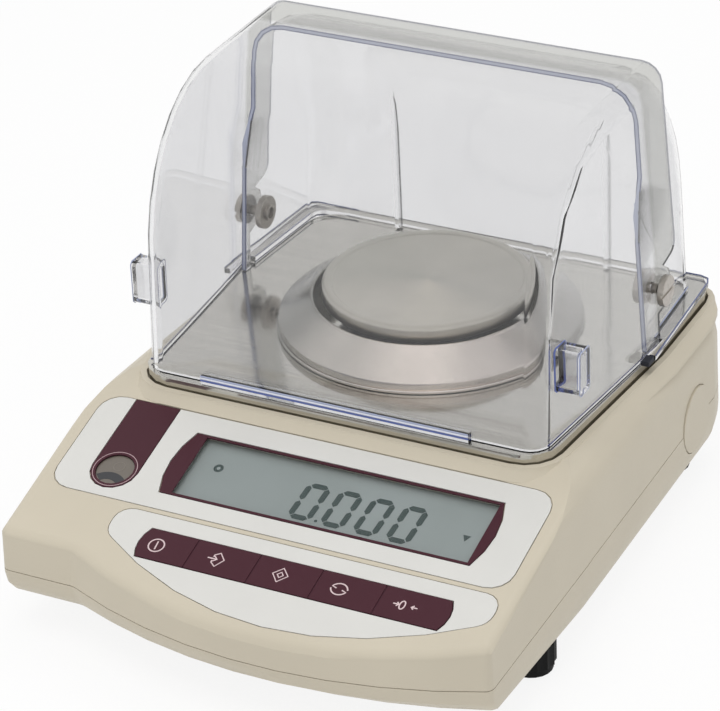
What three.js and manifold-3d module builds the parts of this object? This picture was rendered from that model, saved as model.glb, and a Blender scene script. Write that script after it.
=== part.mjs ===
// Carat balance with a clear two-part windshield. Lengths are in millimetres, +Z is up, +Y is the rear.
// The origin is the middle of the footprint, at the level that the feet stand on.
import * as THREE from 'three';
import { mergeVertices } from 'three/addons/utils/BufferGeometryUtils.js';
import Module from 'manifold-3d';

const wasm = await Module();
wasm.setup();

// Shared clearances
const gap = 0.3;              // between pieces that touch or sit in each other
const overrun = 5;            // how far a cutting tool passes the surface it cuts
const weld = 1e-4;            // points closer than this are one point
const roundedShare = 0.49;    // most of a side that the rounding of one of its corners may take

// Case, seen from above
const caseDepth = 235.6;
const waistHalfWidth = 93;    // widest place, a little behind the display
const frontHalfWidth = 91.8;
const rearHalfWidth = 88.9;
const waistFromFront = 91.6;
const noseDepth = 17;         // how far the curved nose stands out in front of the flat left corner
const noseCentreX = 14;
const noseHalfSpan = 77;
const frontCornerRadius = 3.5;
const rearCornerRadius = 24;
const kinkRadius = 6;

// Case, heights
const caseBottom = 11.3;      // underside of the lower case, above the table
const deckHeight = 63.5;
const seamFront = 24.7;
const seamRear = 29.5;
const seamRiseStart = 20;     // the seam starts to climb this far behind the nose
const seamRiseLength = 75;
const wall = 2.5;
const draft = 0.8;
const bellyHeight = 12;       // the lower edge is rounded up to this height above the underside
const bellyInset = 3.5;
const bellyTuck = 22;         // under the nose, the edge of the flat underside lies this much further back
const shoulderRounding = 4;   // along the sloping panel
const deckRounding = 12;       // along the level deck

// Sloping control panel
const panelSlope = THREE.MathUtils.degToRad(16);
const panelFromFront = 84;    // front of the nose to the upper edge of the display overlay
const panelHeight = 59.25;    // height of that edge
const filmThickness = 0.5;
const filmProud = 0.1;
const pocketDepth = filmThickness - filmProud + gap;

// Display overlay, window and level
const overlayHalfWidth = 86;
const overlayLength = 44.8;   // down the slope
const overlayCorner = 8;
const windowFromLeft = 40.5;  // from the overlay's left edge
const windowFromRight = 16;
const windowTop = 8.7;        // down the slope from the overlay's upper edge
const windowLength = 28.8;
const windowBow = 3;
const bezelSide = 4.2;
const bezelRim = 1;
const lensThickness = 1.2;
const lensLap = 0.8;          // how far the lens reaches under the bezel
const lcdThickness = 3.2;
const boardThickness = 1.6;
const stripFromLeft = 20.3;   // its middle, from the overlay's left edge
const stripWidth = 17.3;
const levelDown = 32.3;       // down the slope to the centre of the bubble level
const levelRadius = 6.9;
const levelCupWall = 1.4;
const levelCupDepth = 9;

// Key overlay and keys
const keyOverlayTop = 47;
const keyOverlayLeft = -55;
const keyOverlayRight = 86.5;
const keyOverlayShoulder = 12;    // height of its ends, where the curved lower edge starts
const keyOverlayDepth = 34.8;
const keyOverlayCorner = 7;
const keyTop = 53.4;
const keyLength = 12.9;
const keyEdges = [-39.6, -21.4, 2, 25.1, 48.2, 71.4];
const keyNames = ['on_off', 'memory', 'set', 'function', 'zero'];
const keyBow = 1.8;
const keyThickness = 1.2;
const keyProud = 0.3;
const keyTravel = 0.5;
const keyGap = 0.5;
const stemWidth = 5;
const stemDepth = 3.4;
const stemLength = 2.6;
const switchRadius = 1.7;
const switchHeight = 1.6;
const keyBoardLap = 3;

// Deck plate under the windshield
const plateFrontHalf = 77.6;
const plateWideHalf = 83.2;
const plateRearHalf = 82.2;
const plateFromPanel = 6;     // its front edge lies this far behind the display overlay's upper edge
const plateWideFromRear = 59; // its widest place, in front of the case's rear
const plateFromRear = 3.8;
const plateCorner = 13;
const plateTop = 66.8;
const plateSheet = 1;
const plateRimDepth = 5;
const plateGap = 0.7;
const recessDepth = 3;
const lipWidth = 3.9;         // the case stands up round the plate by this width, half way up the lip
const lipFlare = 1.75;        // the lip is this much wider at its foot and narrower at its top
const lipRise = 5;

// Pan, wind ring and load path
const panFromRear = 71.5;     // the pan's centre, in front of the case's rear
const panRadius = 37.5;
const panTop = 83.6;
const panSheet = 1.2;
const panSkirt = 5.4;
const panDish = 0.6;
const panRim = 3.2;
const ringOpening = 40.4;
const ringRadius = 54;
const ringTop = 79.2;
const ringSheet = 1.2;
const ringLipHeight = 3.4;
const ringLipWidth = 2.6;
const seatRadius = 32;
const seatThickness = 1.8;
const seatHub = 7;
const shaftRadius = 4;
const shaftHole = 9;          // hole in the deck that the load shaft passes through
const plateHole = 10.5;

// Load cell
const frameTop = 19.6;
const frameThickness = 4;
const frameHalfWidth = 55;
const frameFromPanel = 2.4;   // its front, in front of the display overlay's upper edge
const frameFromRear = 21;
const bodyHalfWidth = 24;
const bodyLength = 62;
const bodyHeight = 25;
const bodyWall = 8;
const leverHalfWidth = 8;
const leverLength = 50;
const leverHeight = 6;
const leverRise = 16;
const forkWidth = 6;
const forkThickness = 2;
const forkTine = 0.7;
const flexureThickness = 0.6;
const stopRadius = 3;

// Windshield, rear hood
const sheet = 1.8;            // wall of both covers
const coverReach = 24;        // each cover's form runs on by this much past the places where it is cut off
const hoodFrontHalf = 79.3;
const hoodRearHalf = 76;
const hoodFrontTopHalf = 73;
const hoodRearTopHalf = 70.5;
const hoodFromRear = 64.8;    // its open front, in front of the case's rear
const hoodStepY = 6;          // the upper half of the front edge lies this much further back
const hoodStepLow = 119;
const hoodStepHigh = 131;
const hoodFromPlate = 4.9;    // its rear wall, in front of the plate's rear edge
const hoodTop = 163.8;
const hoodShoulder = 110;     // the rear wall is upright to this height
const hoodCrownDepth = 46;
const hoodCorner = 12;
const flangeLap = 2.5;        // the flange reaches past the lid's feet by this much
const flangeRearLap = 5.6;    // and past the hood's rear corners
const flangeAheadOfHood = 4.2;
const flangeBehindHood = 0.8;  // and past its rear wall
const flangeThickness = 2;
const flangeCorner = 4;
const ribX = 41.5;
const ribWidth = 1.6;
const ribDepth = 3;
const ribTop = 133;

// Windshield, front lid
const lidFromPlate = 1.4;     // its front wall, behind the plate's front edge
const lidLean = 3.8;          // the front wall leans back by this much up to lidShoulder
const lidShoulder = 105;
const lidCrownDepth = 49.5;
const lidFrontHalf = 75.4;
const lidFrontTopHalf = 75;
const lidAirLow = 1.9;        // between the lid's sides and the hood's at the foot
const lidAirHigh = 1;         // and at the top of the sides
const lidAirAbove = 0.7;
const lidCorner = 7;
const lidOverHood = 23.3;     // the lid's upper half reaches over the hood by this much
const lidFootFromPivot = 2.2; // the rear edge of its feet, in front of the pivots
const lidNotchRise = 10.2;    // the notch's upper edge, above the pivots
const lidNotchRadius = 5;
const pivotEarRadius = 8.5;
const pivotEarTop = THREE.MathUtils.degToRad(69);
const pivotEarLow = THREE.MathUtils.degToRad(-60);
const lipLeft = -52;          // stiffening lip along the bottom of the front wall
const lipRight = 50;
const lipHeight = 3.2;
const lipProud = 0.9;
const gripReach = 9.7;        // the finger grips stand out this far from the lid's front corners
const gripFromFront = 12;
const gripLength = 8.2;
const gripLow = 85.3;
const gripHigh = 101.5;
const gripWall = 1.6;
const gripCorner = 1.8;
const padWidth = 3;           // rubber pads in front of the hood's flange
const padInset = 0.2;
const padLength = 5.1;

// Windshield pivots
const pivotFromHood = 9.5;    // behind the hood's open front
const pivotZ = 87.5;
const pivotRadius = 1.8;
const pivotClearance = 0.35;
const screwHeadRadius = 5.6;
const screwHeadThickness = 2.4;
const screwSlotWidth = 1.2;
const screwSlotDepth = 0.7;
const nutRadius = 6.2;
const nutThickness = 2.2;
const nutHubRadius = 3;
const nutHubThickness = 1.2;

// Feet
const footFrontInset = 10.1;  // from the case's sides
const footRearInset = 15.5;
const footFromNose = 69.1;
const footFromRear = 27;
const footRadius = 8.6;
const footBaseRadius = 7.6;
const footBaseHeight = 2.6;
const footHeight = 10.9;
const footGripCount = 14;
const footGripDepth = 0.6;
const footScrewRadius = 3;
const footScrewLength = 9;
const footBossRadius = 6.5;

// Side caps, sockets and electronics
const capRadius = 12.5;
const capFromRear = 41.9;
const capZ = 30.4;
const capThickness = 1.8;
const capProud = 0.2;
const rearPlateHalfWidth = 44;
const rearPlateLow = 31;
const rearPlateHigh = 52;
const rearPlateThickness = 1.6;
const rearPlateCorner = 3;
const jackX = -28;
const jackRadius = 4.2;
const jackHole = 2.6;
const jackPin = 0.8;
const jackLength = 12;
const serialX = 14;
const serialHalfWidth = 15.4;
const serialHalfHeight = 6;
const serialDepth = 11;
const serialMouthDepth = 5;
const serialMouthHalf = 8.3;  // half the mouth's width, half way up
const serialMouthLean = 0.6;  // its lower side is shorter by this much at each end, and its upper side longer
const serialShellWall = 1.2;
const mainBoardHalfWidth = 48;
const mainBoardDepth = 34;
const mainBoardFromPanel = 19.4;  // its middle lies this far in front of the overlay's upper edge
const mainBoardZ = 22;
const chipSpacing = 24;
const chipHalf = 6;
const chipHeight = 1.6;
const ribbonWidth = 18;
const ribbonThickness = 0.6;
const ribbonDrop = 5;         // the ribbon ends this far under the display's board, measured upright
const bossOuter = 4;
const bossPilot = 1.3;
const caseScrewRadius = 1.2;
const caseScrewHead = 2.6;
const caseScrewLength = 9;
const caseScrewInset = 14;    // from the case's sides, in front
const caseScrewRearInset = 18.9;
const caseScrewFromPanel = 20.6;
const caseScrewFromRear = 51;
const framePostRadius = 5;
const frameScrewInset = 6;

// Facets
const arcSteps = 4;
const noseSteps = 9;
const crownSteps = 8;
const roundSides = 36;
const middleSides = 20;
const smallSides = 12;

// Derived places of the case
const rearY = caseDepth / 2;
const noseY = -rearY;
const flatFrontY = noseY + noseDepth;
const waistY = noseY + waistFromFront;
const noseRadius = (noseHalfSpan ** 2 + noseDepth ** 2) / (2 * noseDepth);
const panelY = noseY + panelFromFront;
const slopeRise = Math.tan(panelSlope);
const recessFloor = deckHeight - recessDepth;
const ceiling = recessFloor - wall;
const floorTop = caseBottom + wall;
const caseScrewX = waistHalfWidth - caseScrewInset;
const caseScrewRearX = rearHalfWidth - caseScrewRearInset;
const caseScrewPlaces = [-1, 1].flatMap((side) => [
  [side * caseScrewX, panelY + caseScrewFromPanel], [side * caseScrewRearX, rearY - caseScrewFromRear],
]);
const capY = rearY - capFromRear;

// Derived places on the panel
const windowLeft = windowFromLeft - overlayHalfWidth;
const windowRight = overlayHalfWidth - windowFromRight;
const stripCentreX = stripFromLeft - overlayHalfWidth;

// Derived places on the deck
const plateFrontY = panelY + plateFromPanel;
const plateWideY = rearY - plateWideFromRear;
const plateRearY = rearY - plateFromRear;
const panCentreY = rearY - panFromRear;
const frameFrontY = panelY - frameFromPanel;
const frameRearY = rearY - frameFromRear;
const mainBoardY = panelY - mainBoardFromPanel;

// Derived sizes and places of the windshield. The lid goes over the hood.
const hoodFrontY = rearY - hoodFromRear;
const hoodRearY = plateRearY - hoodFromPlate;
const pivotY = hoodFrontY + pivotFromHood;
const lidRearHalf = hoodFrontHalf + lidAirLow + sheet;
const lidRearTopHalf = hoodFrontTopHalf + lidAirHigh + sheet;
const lidTop = hoodTop + lidAirAbove + sheet;
const lidFrontY = plateFrontY + lidFromPlate;
const lidRearY = hoodFrontY + lidOverHood;
const lidFootY = pivotY - lidFootFromPivot;
const gripOut = lidFrontHalf + gripReach;
const gripFrontY = lidFrontY + gripFromFront;
const flangeFrontHalf = lidRearHalf + flangeLap;
const flangeRearHalf = hoodRearHalf + flangeRearLap;
const flangeFrontY = hoodFrontY - flangeAheadOfHood;
const flangeRearY = hoodRearY + flangeBehindHood;
const pastSides = flangeFrontHalf + gripReach;

// Materials
const plastic = (color, roughness) => new THREE.MeshStandardMaterial({ color, roughness, metalness: 0 });
const metal = (color, roughness) => new THREE.MeshStandardMaterial({ color, roughness, metalness: 1 });
const paint = {
  case: plastic(0xcdc5b2, 0.5),
  film: plastic(0xdededd, 0.4),
  maroon: plastic(0x502c36, 0.4),
  lcd: plastic(0x929c99, 0.2),
  board: plastic(0x2c6a45, 0.6),
  dark: plastic(0x1c1c1e, 0.7),
  steel: metal(0xb2b1ac, 0.25),
  castMetal: metal(0xa5a7a8, 0.5),
  brass: metal(0xc0a468, 0.35),
  grey: plastic(0x8d8f90, 0.5),
  clear: new THREE.MeshStandardMaterial({
    color: 0xe6e9f0, roughness: 0.05, transparent: true, opacity: 0.3,
  }),
};

// Solids and their joins

// One closed body with its points shared and its faces pointing out.
function closed(geometry) {
  const bare = new THREE.BufferGeometry();
  bare.setAttribute('position', geometry.getAttribute('position').clone());
  if (geometry.index) bare.setIndex(geometry.index.clone());
  const merged = mergeVertices(bare, weld);
  const place = merged.getAttribute('position');
  const corner = (i) => new THREE.Vector3().fromBufferAttribute(place, i);
  const faces = [];
  let volume = 0;
  for (let i = 0; i < merged.index.count; i += 3) {
    const [a, b, c] = [0, 1, 2].map((k) => merged.index.getX(i + k));
    if (a === b || b === c || c === a) continue;
    faces.push([a, b, c]);
    volume += corner(a).dot(corner(b).cross(corner(c)));
  }
  merged.setIndex(faces.flatMap(([a, b, c]) => (volume > 0 ? [a, b, c] : [a, c, b])));
  return merged;
}

function toManifold(geometry) {
  const body = closed(geometry);
  return new wasm.Manifold(new wasm.Mesh({
    numProp: 3,
    vertProperties: new Float32Array(body.getAttribute('position').array),
    triVerts: new Uint32Array(body.index.array),
  }));
}

function fromManifold(manifold) {
  const mesh = manifold.getMesh();
  const geometry = new THREE.BufferGeometry();
  geometry.setAttribute('position', new THREE.BufferAttribute(mesh.vertProperties, mesh.numProp));
  geometry.setIndex(new THREE.BufferAttribute(mesh.triVerts, 1));
  return geometry;
}

const combine = (verb) => (first, ...others) => fromManifold(
  others.flat().reduce((made, next) => made[verb](toManifold(next)), toManifold(first)),
);
const cut = combine('subtract');
const join = combine('add');
const common = combine('intersect');

// Outlines

const point = (x, y) => new THREE.Vector2(x, y);

// The outline moved inwards by the same distance all round. Its points run counter-clockwise.
function insetOutline(points, inset) {
  return points.map((here, i) => {
    const before = points.at(i - 1);
    const after = points[(i + 1) % points.length];
    const inward = (from, to) => {
      const along = to.clone().sub(from).normalize();
      return point(-along.y, along.x);
    };
    const n1 = inward(before, here);
    const n2 = inward(here, after);
    return here.clone().add(n1.add(n2).multiplyScalar(inset / (1 + inward(before, here).dot(n2))));
  });
}

// The outline with its corners turned into arcs. A radius of zero keeps the corner.
function roundCorners(points, radii, steps = arcSteps) {
  return points.flatMap((here, i) => {
    const radius = Array.isArray(radii) ? radii[i] : radii;
    if (!radius) return [here];
    const toBefore = points.at(i - 1).clone().sub(here);
    const toAfter = points[(i + 1) % points.length].clone().sub(here);
    const half = toBefore.angleTo(toAfter) / 2;
    const longest = roundedShare * Math.min(toBefore.length(), toAfter.length());
    const reach = Math.min(radius / Math.tan(half), longest);
    const start = here.clone().add(toBefore.normalize().multiplyScalar(reach));
    const end = here.clone().add(toAfter.normalize().multiplyScalar(reach));
    const middle = start.clone().add(end).multiplyScalar(0.5);
    const centre = middle.clone().sub(here).setLength(reach / Math.sin(Math.PI / 2 - half)).add(here);
    const first = start.clone().sub(centre).angle();
    let turn = end.clone().sub(centre).angle() - first;
    if (turn > Math.PI) turn -= 2 * Math.PI;
    if (turn < -Math.PI) turn += 2 * Math.PI;
    const size = start.distanceTo(centre);
    return Array.from({ length: steps + 1 }, (_, k) => {
      const angle = first + turn * k / steps;
      return point(centre.x + size * Math.cos(angle), centre.y + size * Math.sin(angle));
    });
  });
}

const rectangle = (x0, y0, x1, y1) => [point(x0, y0), point(x1, y0), point(x1, y1), point(x0, y1)];
const roundRectangle = (x0, y0, x1, y1, radius) => roundCorners(rectangle(x0, y0, x1, y1), radius);

// Points of a bowed line from one place to another. A positive bow swells to the right of the way it runs.
function bowed(from, to, bow, steps = arcSteps) {
  const along = to.clone().sub(from);
  const side = point(along.y, -along.x).normalize();
  return Array.from({ length: steps + 1 }, (_, k) => {
    const share = k / steps;
    const swell = bow * 4 * share * (1 - share);
    return from.clone().addScaledVector(along, share).addScaledVector(side, swell);
  });
}

// Prisms along the three axes. The outline's two coordinates are the axes that are left, in X, Y, Z order.
const extrude = (points, depth) => new THREE.ExtrudeGeometry(new THREE.Shape(points), {
  depth, bevelEnabled: false, curveSegments: 1,
});
const prismZ = (points, low, high) => extrude(points, high - low).translate(0, 0, low);
const axes = { x: new THREE.Vector3(1, 0, 0), y: new THREE.Vector3(0, 1, 0), z: new THREE.Vector3(0, 0, 1) };
const sideways = new THREE.Matrix4().makeBasis(axes.y, axes.z, axes.x);
const lengthways = new THREE.Matrix4().makeBasis(axes.x, axes.z, axes.y.clone().negate());
const prismX = (points, low, high) => extrude(points, high - low).applyMatrix4(sideways).translate(low, 0, 0);
const prismY = (points, low, high) =>
  extrude(points, high - low).applyMatrix4(lengthways).translate(0, high, 0);
const block = (x0, y0, z0, x1, y1, z1) => prismZ(rectangle(x0, y0, x1, y1), z0, z1);

const circle = (radius, sides) => Array.from({ length: sides }, (_, k) => {
  const angle = 2 * Math.PI * k / sides;
  return point(radius * Math.cos(angle), radius * Math.sin(angle));
});
const disc = (radius, low, high, x = 0, y = 0, sides = smallSides) =>
  prismZ(circle(radius, sides), low, high).translate(x, y, 0);
const discs = (places, radius, low, high) => places.map(([x, y]) => disc(radius, low, high, x, y));
const rod = (radius, low, high, y, z, sides = smallSides) =>
  prismX(circle(radius, sides), low, high).translate(0, y, z);

// A turned piece about the Z axis, from pairs of a radius and a height.
// The profile ends on the axis or closes on itself.
const turned = (profile, sides = roundSides) => new THREE.LatheGeometry(
  profile.map(([radius, height]) => point(radius, height)), sides,
).rotateX(Math.PI / 2);

// A solid through a stack of rings that have as many points each, from the lowest to the highest.
function stack(rings) {
  const count = rings[0].length;
  const positions = rings.flat().flatMap((p) => [p.x, p.y, p.z]);
  const faces = [];
  for (let level = 0; level + 1 < rings.length; level += 1) {
    for (let i = 0; i < count; i += 1) {
      const next = (i + 1) % count;
      const [a, b] = [level * count + i, level * count + next];
      faces.push(a, b, b + count, a, b + count, a + count);
    }
  }
  const cap = (ring) => THREE.ShapeUtils.triangulateShape(ring.map((p) => point(p.x, p.y)), []);
  cap(rings[0]).forEach(([a, b, c]) => faces.push(a, c, b));
  const top = (rings.length - 1) * count;
  cap(rings.at(-1)).forEach(([a, b, c]) => faces.push(top + a, top + b, top + c));
  const geometry = new THREE.BufferGeometry();
  geometry.setAttribute('position', new THREE.Float32BufferAttribute(positions, 3));
  geometry.setIndex(faces);
  return geometry;
}

// Assembly

const balance = new THREE.Group();
const panel = new THREE.Group();
panel.position.set(0, panelY, panelHeight);
panel.rotation.x = panelSlope;
balance.add(panel);
panel.updateMatrix();

// A piece in the panel's own frame: x, minus the way down the slope, and the height above the panel.
const onPanel = (geometry) => geometry.applyMatrix4(panel.matrix);

function add(name, geometry, material, parent = balance) {
  const body = closed(geometry);
  body.computeVertexNormals();
  const mesh = new THREE.Mesh(body, material);
  mesh.name = name;
  parent.add(mesh);
}

// Case

// The plan outline, counter-clockwise from the rear left corner, with the radius of each corner.
function casePlan() {
  const noseAt = (x) => noseY + noseRadius - Math.sqrt(noseRadius ** 2 - (x - noseCentreX) ** 2);
  const noseLeft = noseCentreX - noseHalfSpan;
  const corners = [
    [-rearHalfWidth, rearY, rearCornerRadius],
    [-waistHalfWidth, waistY, 0],
    [-frontHalfWidth, flatFrontY, frontCornerRadius],
    [noseLeft, flatFrontY, -kinkRadius],
  ];
  for (let k = 1; k <= noseSteps; k += 1) {
    const x = noseLeft + (frontHalfWidth - noseLeft) * k / noseSteps;
    corners.push([x, noseAt(x), k === noseSteps ? frontCornerRadius : 0]);
  }
  corners.push([waistHalfWidth, waistY, 0], [rearHalfWidth, rearY, rearCornerRadius]);
  return corners;
}

function caseOutline(inset) {
  const plan = casePlan();
  const moved = insetOutline(plan.map(([x, y]) => point(x, y)), inset);
  const least = 1;
  const radii = plan.map(([, , radius]) => {
    if (radius === 0) return 0;
    return radius > 0 ? Math.max(radius - inset, least) : inset - radius;
  });
  return roundCorners(moved, radii);
}

const ringAt = (inset, height) => caseOutline(inset).map((p) => new THREE.Vector3(p.x, p.y, height));

// Rings of a rounded upper edge, from the upright wall in to the flat top.
function shoulderRings(inset, top, radius) {
  return Array.from({ length: arcSteps + 1 }, (_, k) => {
    const angle = Math.PI / 2 * k / arcSteps;
    return ringAt(inset + radius * (1 - Math.cos(angle)), top - radius * (1 - Math.sin(angle)));
  });
}

// Rings of the rounded lower edge, from the flat underside up to the upright wall.
function bellyRings(inset, bottom) {
  return Array.from({ length: arcSteps + 1 }, (_, k) => {
    const angle = Math.PI / 2 * k / arcSteps;
    const share = 1 - Math.sin(angle);
    const tuckAt = (y) => bellyTuck * (Math.max(waistY - y, 0) / waistFromFront) ** 3;
    return ringAt(inset + share * bellyInset, bottom + bellyHeight * (1 - Math.cos(angle)))
      .map((p) => p.setY(p.y + share * tuckAt(p.y)));
  });
}

// The case's form, or its hollow when it is drawn in by the wall.
function caseForm(drawnIn, bottom, deck, panelDrop) {
  const soft = shoulderRounding - drawnIn / 2;
  const level = stack([
    ...bellyRings(drawnIn, bottom),
    ...shoulderRings(drawnIn + draft, deck, deckRounding - drawnIn / 2),
  ]);
  const under = -caseDepth;
  const sloped = stack([
    ringAt(drawnIn - draft, under),
    ringAt(drawnIn - draft, -panelDrop - soft - draft),
    ...shoulderRings(drawnIn, -panelDrop, soft),
  ]);
  const shear = new THREE.Matrix4().set(
    1, 0, 0, 0,
    0, 1, 0, 0,
    0, slopeRise, 1, panelHeight - slopeRise * panelY,
    0, 0, 0, 1,
  );
  return common(level, sloped.applyMatrix4(shear));
}

function plateOutline(outset) {
  const right = [[plateFrontHalf, plateFrontY], [plateWideHalf, plateWideY], [plateRearHalf, plateRearY]];
  const left = right.map(([x, y]) => [-x, y]).toReversed();
  const plan = [...right, ...left].map(([x, y]) => point(x, y));
  const corner = plateCorner + outset;
  return roundCorners(insetOutline(plan, -outset), [corner, 0, corner, corner, 0, corner]);
}

// The raised lip round the deck plate, inside the case's own outline.
function deckLip() {
  const reach = plateGap + lipWidth;
  const lipRing = (outset, height) => plateOutline(outset).map((p) => new THREE.Vector3(p.x, p.y, height));
  const lip = stack([
    lipRing(reach + lipFlare, ceiling),
    ...Array.from({ length: arcSteps + 1 }, (_, k) => {
      const share = k / arcSteps;
      return lipRing(reach + lipFlare * Math.cos(Math.PI * share), deckHeight - lipRise * (1 - share));
    }),
  ]);
  return common(lip, prismZ(caseOutline(draft), caseBottom, deckHeight + overrun));
}

const hollow = caseForm(wall, floorTop, ceiling, wall);
const caseBody = join(caseForm(0, caseBottom, deckHeight, 0), deckLip());

// The line between the two halves, seen from the side, as far as the given height above it or below it.
function seamPrism(shift, edge) {
  const reach = caseDepth;
  const start = noseY + seamRiseStart;
  return prismX([
    point(-reach, edge), point(-reach, seamFront + shift), point(start, seamFront + shift),
    point(start + seamRiseLength, seamRear + shift), point(reach, seamRear + shift), point(reach, edge),
  ], -reach, reach);
}

const bosses = discs(caseScrewPlaces, bossOuter, floorTop + gap, ceiling + gap);
const pilots = discs(caseScrewPlaces, bossPilot, caseBottom, floorTop + caseScrewLength);
const sideAtCap = waistHalfWidth + (rearHalfWidth - waistHalfWidth) * (capY - waistY) / (rearY - waistY);
const sides = [['left', -1], ['right', 1]];
const between = (side, near, far) => [Math.min(side * near, side * far), Math.max(side * near, side * far)];
const capSeat = (side, radius, depth) =>
  rod(radius, ...between(side, sideAtCap - draft - depth, sideAtCap + overrun), capY, capZ, middleSides);

// Outlines on the panel. The y of a point is minus its way down the slope.
const overlayOutline = (grow) => roundRectangle(
  -overlayHalfWidth - grow, -overlayLength - grow, overlayHalfWidth + grow, grow, overlayCorner,
);

function windowOutline(grow) {
  const [left, right] = [windowLeft - grow, windowRight + grow];
  const [top, bottom] = [-windowTop + grow, -windowTop - windowLength - grow];
  return [
    ...bowed(point(left, top), point(left, bottom), windowBow),
    ...bowed(point(right, bottom), point(right, top), windowBow),
  ];
}

const lensOutline = () => rectangle(
  windowLeft + bezelSide - lensLap, -windowTop - windowLength + bezelRim - lensLap,
  windowRight - bezelRim + lensLap, -windowTop - bezelRim + lensLap,
);
const grown = (points, grow) => insetOutline(points, -grow);

function stripOutline(grow) {
  const half = stripWidth / 2 + grow;
  const arc = Array.from({ length: 2 * arcSteps + 1 }, (_, k) => {
    const angle = Math.PI + Math.PI * k / (2 * arcSteps);
    return point(stripCentreX + half * Math.cos(angle), -levelDown + half * Math.sin(angle));
  });
  return [...arc, point(stripCentreX + half, grow + grow), point(stripCentreX - half, grow + grow)];
}

function keyOverlayOutline(grow) {
  const [left, right] = [keyOverlayLeft - grow, keyOverlayRight + grow];
  const top = -keyOverlayTop + grow;
  const shoulder = -keyOverlayTop - keyOverlayShoulder;
  const lowest = -keyOverlayTop - keyOverlayDepth - grow;
  const curve = bowed(point(left, shoulder), point(right, shoulder), shoulder - lowest, 2 * arcSteps);
  return roundCorners(
    [...curve, point(right, top), point(left, top)],
    curve.map((_, i) => (i === 0 || i === curve.length - 1 ? keyOverlayCorner : 0))
      .concat([keyOverlayCorner, keyOverlayCorner]),
  );
}

// One key's outline. The outer sides of the first and last keys are bowed.
function keyOutline(index, grow) {
  const last = keyNames.length - 1;
  const left = keyEdges[index] + (index > 0 ? keyGap / 2 : 0) - grow;
  const right = keyEdges[index + 1] - (index < last ? keyGap / 2 : 0) + grow;
  const top = -keyTop + grow;
  const bottom = -keyTop - keyLength - grow;
  const leftBow = index === 0 ? keyBow : 0;
  const rightBow = index === last ? keyBow : 0;
  return [
    ...bowed(point(left, top), point(left, bottom), leftBow, leftBow ? arcSteps : 1),
    ...bowed(point(right, bottom), point(right, top), rightBow, rightBow ? arcSteps : 1),
  ];
}

function keyBarOutline(grow) {
  const [left, right] = [keyEdges[0] - grow, keyEdges.at(-1) + grow];
  const [top, bottom] = [-keyTop + grow, -keyTop - keyLength - grow];
  return [
    ...bowed(point(left, top), point(left, bottom), keyBow),
    ...bowed(point(right, bottom), point(right, top), keyBow),
  ];
}
const keyMiddle = (index) => point((keyEdges[index] + keyEdges[index + 1]) / 2, -keyTop - keyLength / 2);
const keyFloor = keyProud - keyThickness - keyTravel - gap;

const capTools = sides.map(([, side]) => capSeat(side, capRadius + gap, capThickness + gap));
const rearCut = prismY(roundCorners(
  rectangle(-rearPlateHalfWidth - gap, rearPlateLow - gap, rearPlateHalfWidth + gap, rearPlateHigh + gap),
  rearPlateCorner,
), rearY - wall - overrun, rearY + overrun);

add('upper_case', cut(
  join(cut(common(caseBody, seamPrism(gap / 2, caseDepth)), hollow), bosses),
  pilots,
  capTools,
  rearCut,
  prismZ(plateOutline(plateGap), recessFloor, deckHeight + overrun),
  disc(shaftHole, ceiling - overrun, recessFloor + overrun, 0, panCentreY),
  onPanel(prismZ(overlayOutline(gap), -pocketDepth, overrun)),
  onPanel(prismZ(grown(lensOutline(), gap), -wall - overrun, overrun)),
  onPanel(disc(levelRadius + levelCupWall + gap, -wall - overrun, overrun, stripCentreX, -levelDown)),
  onPanel(prismZ(keyOverlayOutline(gap), -pocketDepth, overrun)),
  onPanel(prismZ(keyBarOutline(gap), keyFloor, overrun)),
  keyNames.map((_, i) => onPanel(block(
    keyMiddle(i).x - stemWidth / 2 - gap, keyMiddle(i).y - stemDepth / 2 - gap, -wall - overrun,
    keyMiddle(i).x + stemWidth / 2 + gap, keyMiddle(i).y + stemDepth / 2 + gap, overrun,
  ))),
), paint.case);

// Feet, in the lower case's corners
const footFrontX = frontHalfWidth - footFrontInset;
const footRearX = rearHalfWidth - footRearInset;
const feet = [
  ['front_left', -footFrontX, noseY + footFromNose], ['front_right', footFrontX, noseY + footFromNose],
  ['rear_left', -footRearX, rearY - footFromRear], ['rear_right', footRearX, rearY - footFromRear],
];
const footPlaces = feet.map(([, x, y]) => [x, y]);
const footScrewTop = footHeight + footScrewLength;
const frameLow = frameTop - frameThickness;
const insideFloor = caseBottom + wall / 2;
const frameScrewX = frameHalfWidth - frameScrewInset;
const frameScrewPlaces = [-frameScrewX, frameScrewX].flatMap((x) => [
  [x, frameFrontY + frameScrewInset], [x, frameRearY - frameScrewInset],
]);
const boardPostX = mainBoardHalfWidth - bossOuter;
const boardPostReach = mainBoardDepth / 2 - bossOuter;
const boardPostPlaces = [-boardPostX, boardPostX].flatMap((x) => [
  [x, mainBoardY - boardPostReach], [x, mainBoardY + boardPostReach],
]);

add('lower_case', cut(
  join(
    cut(common(caseBody, seamPrism(-gap / 2, -caseDepth)), hollow),
    discs(footPlaces, footBossRadius, insideFloor, footScrewTop + wall),
    discs(boardPostPlaces, bossOuter, insideFloor, mainBoardZ - gap),
    discs(frameScrewPlaces, framePostRadius, insideFloor, frameLow - gap),
  ),
  capTools,
  discs(frameScrewPlaces, caseScrewRadius + gap, insideFloor, frameLow + overrun),
  discs(footPlaces, footScrewRadius + gap, caseBottom - overrun, footScrewTop + gap),
  discs(caseScrewPlaces, caseScrewRadius + gap, caseBottom - overrun, floorTop + overrun),
  discs(caseScrewPlaces, caseScrewHead + gap, caseBottom - overrun, insideFloor),
), paint.case);

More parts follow.
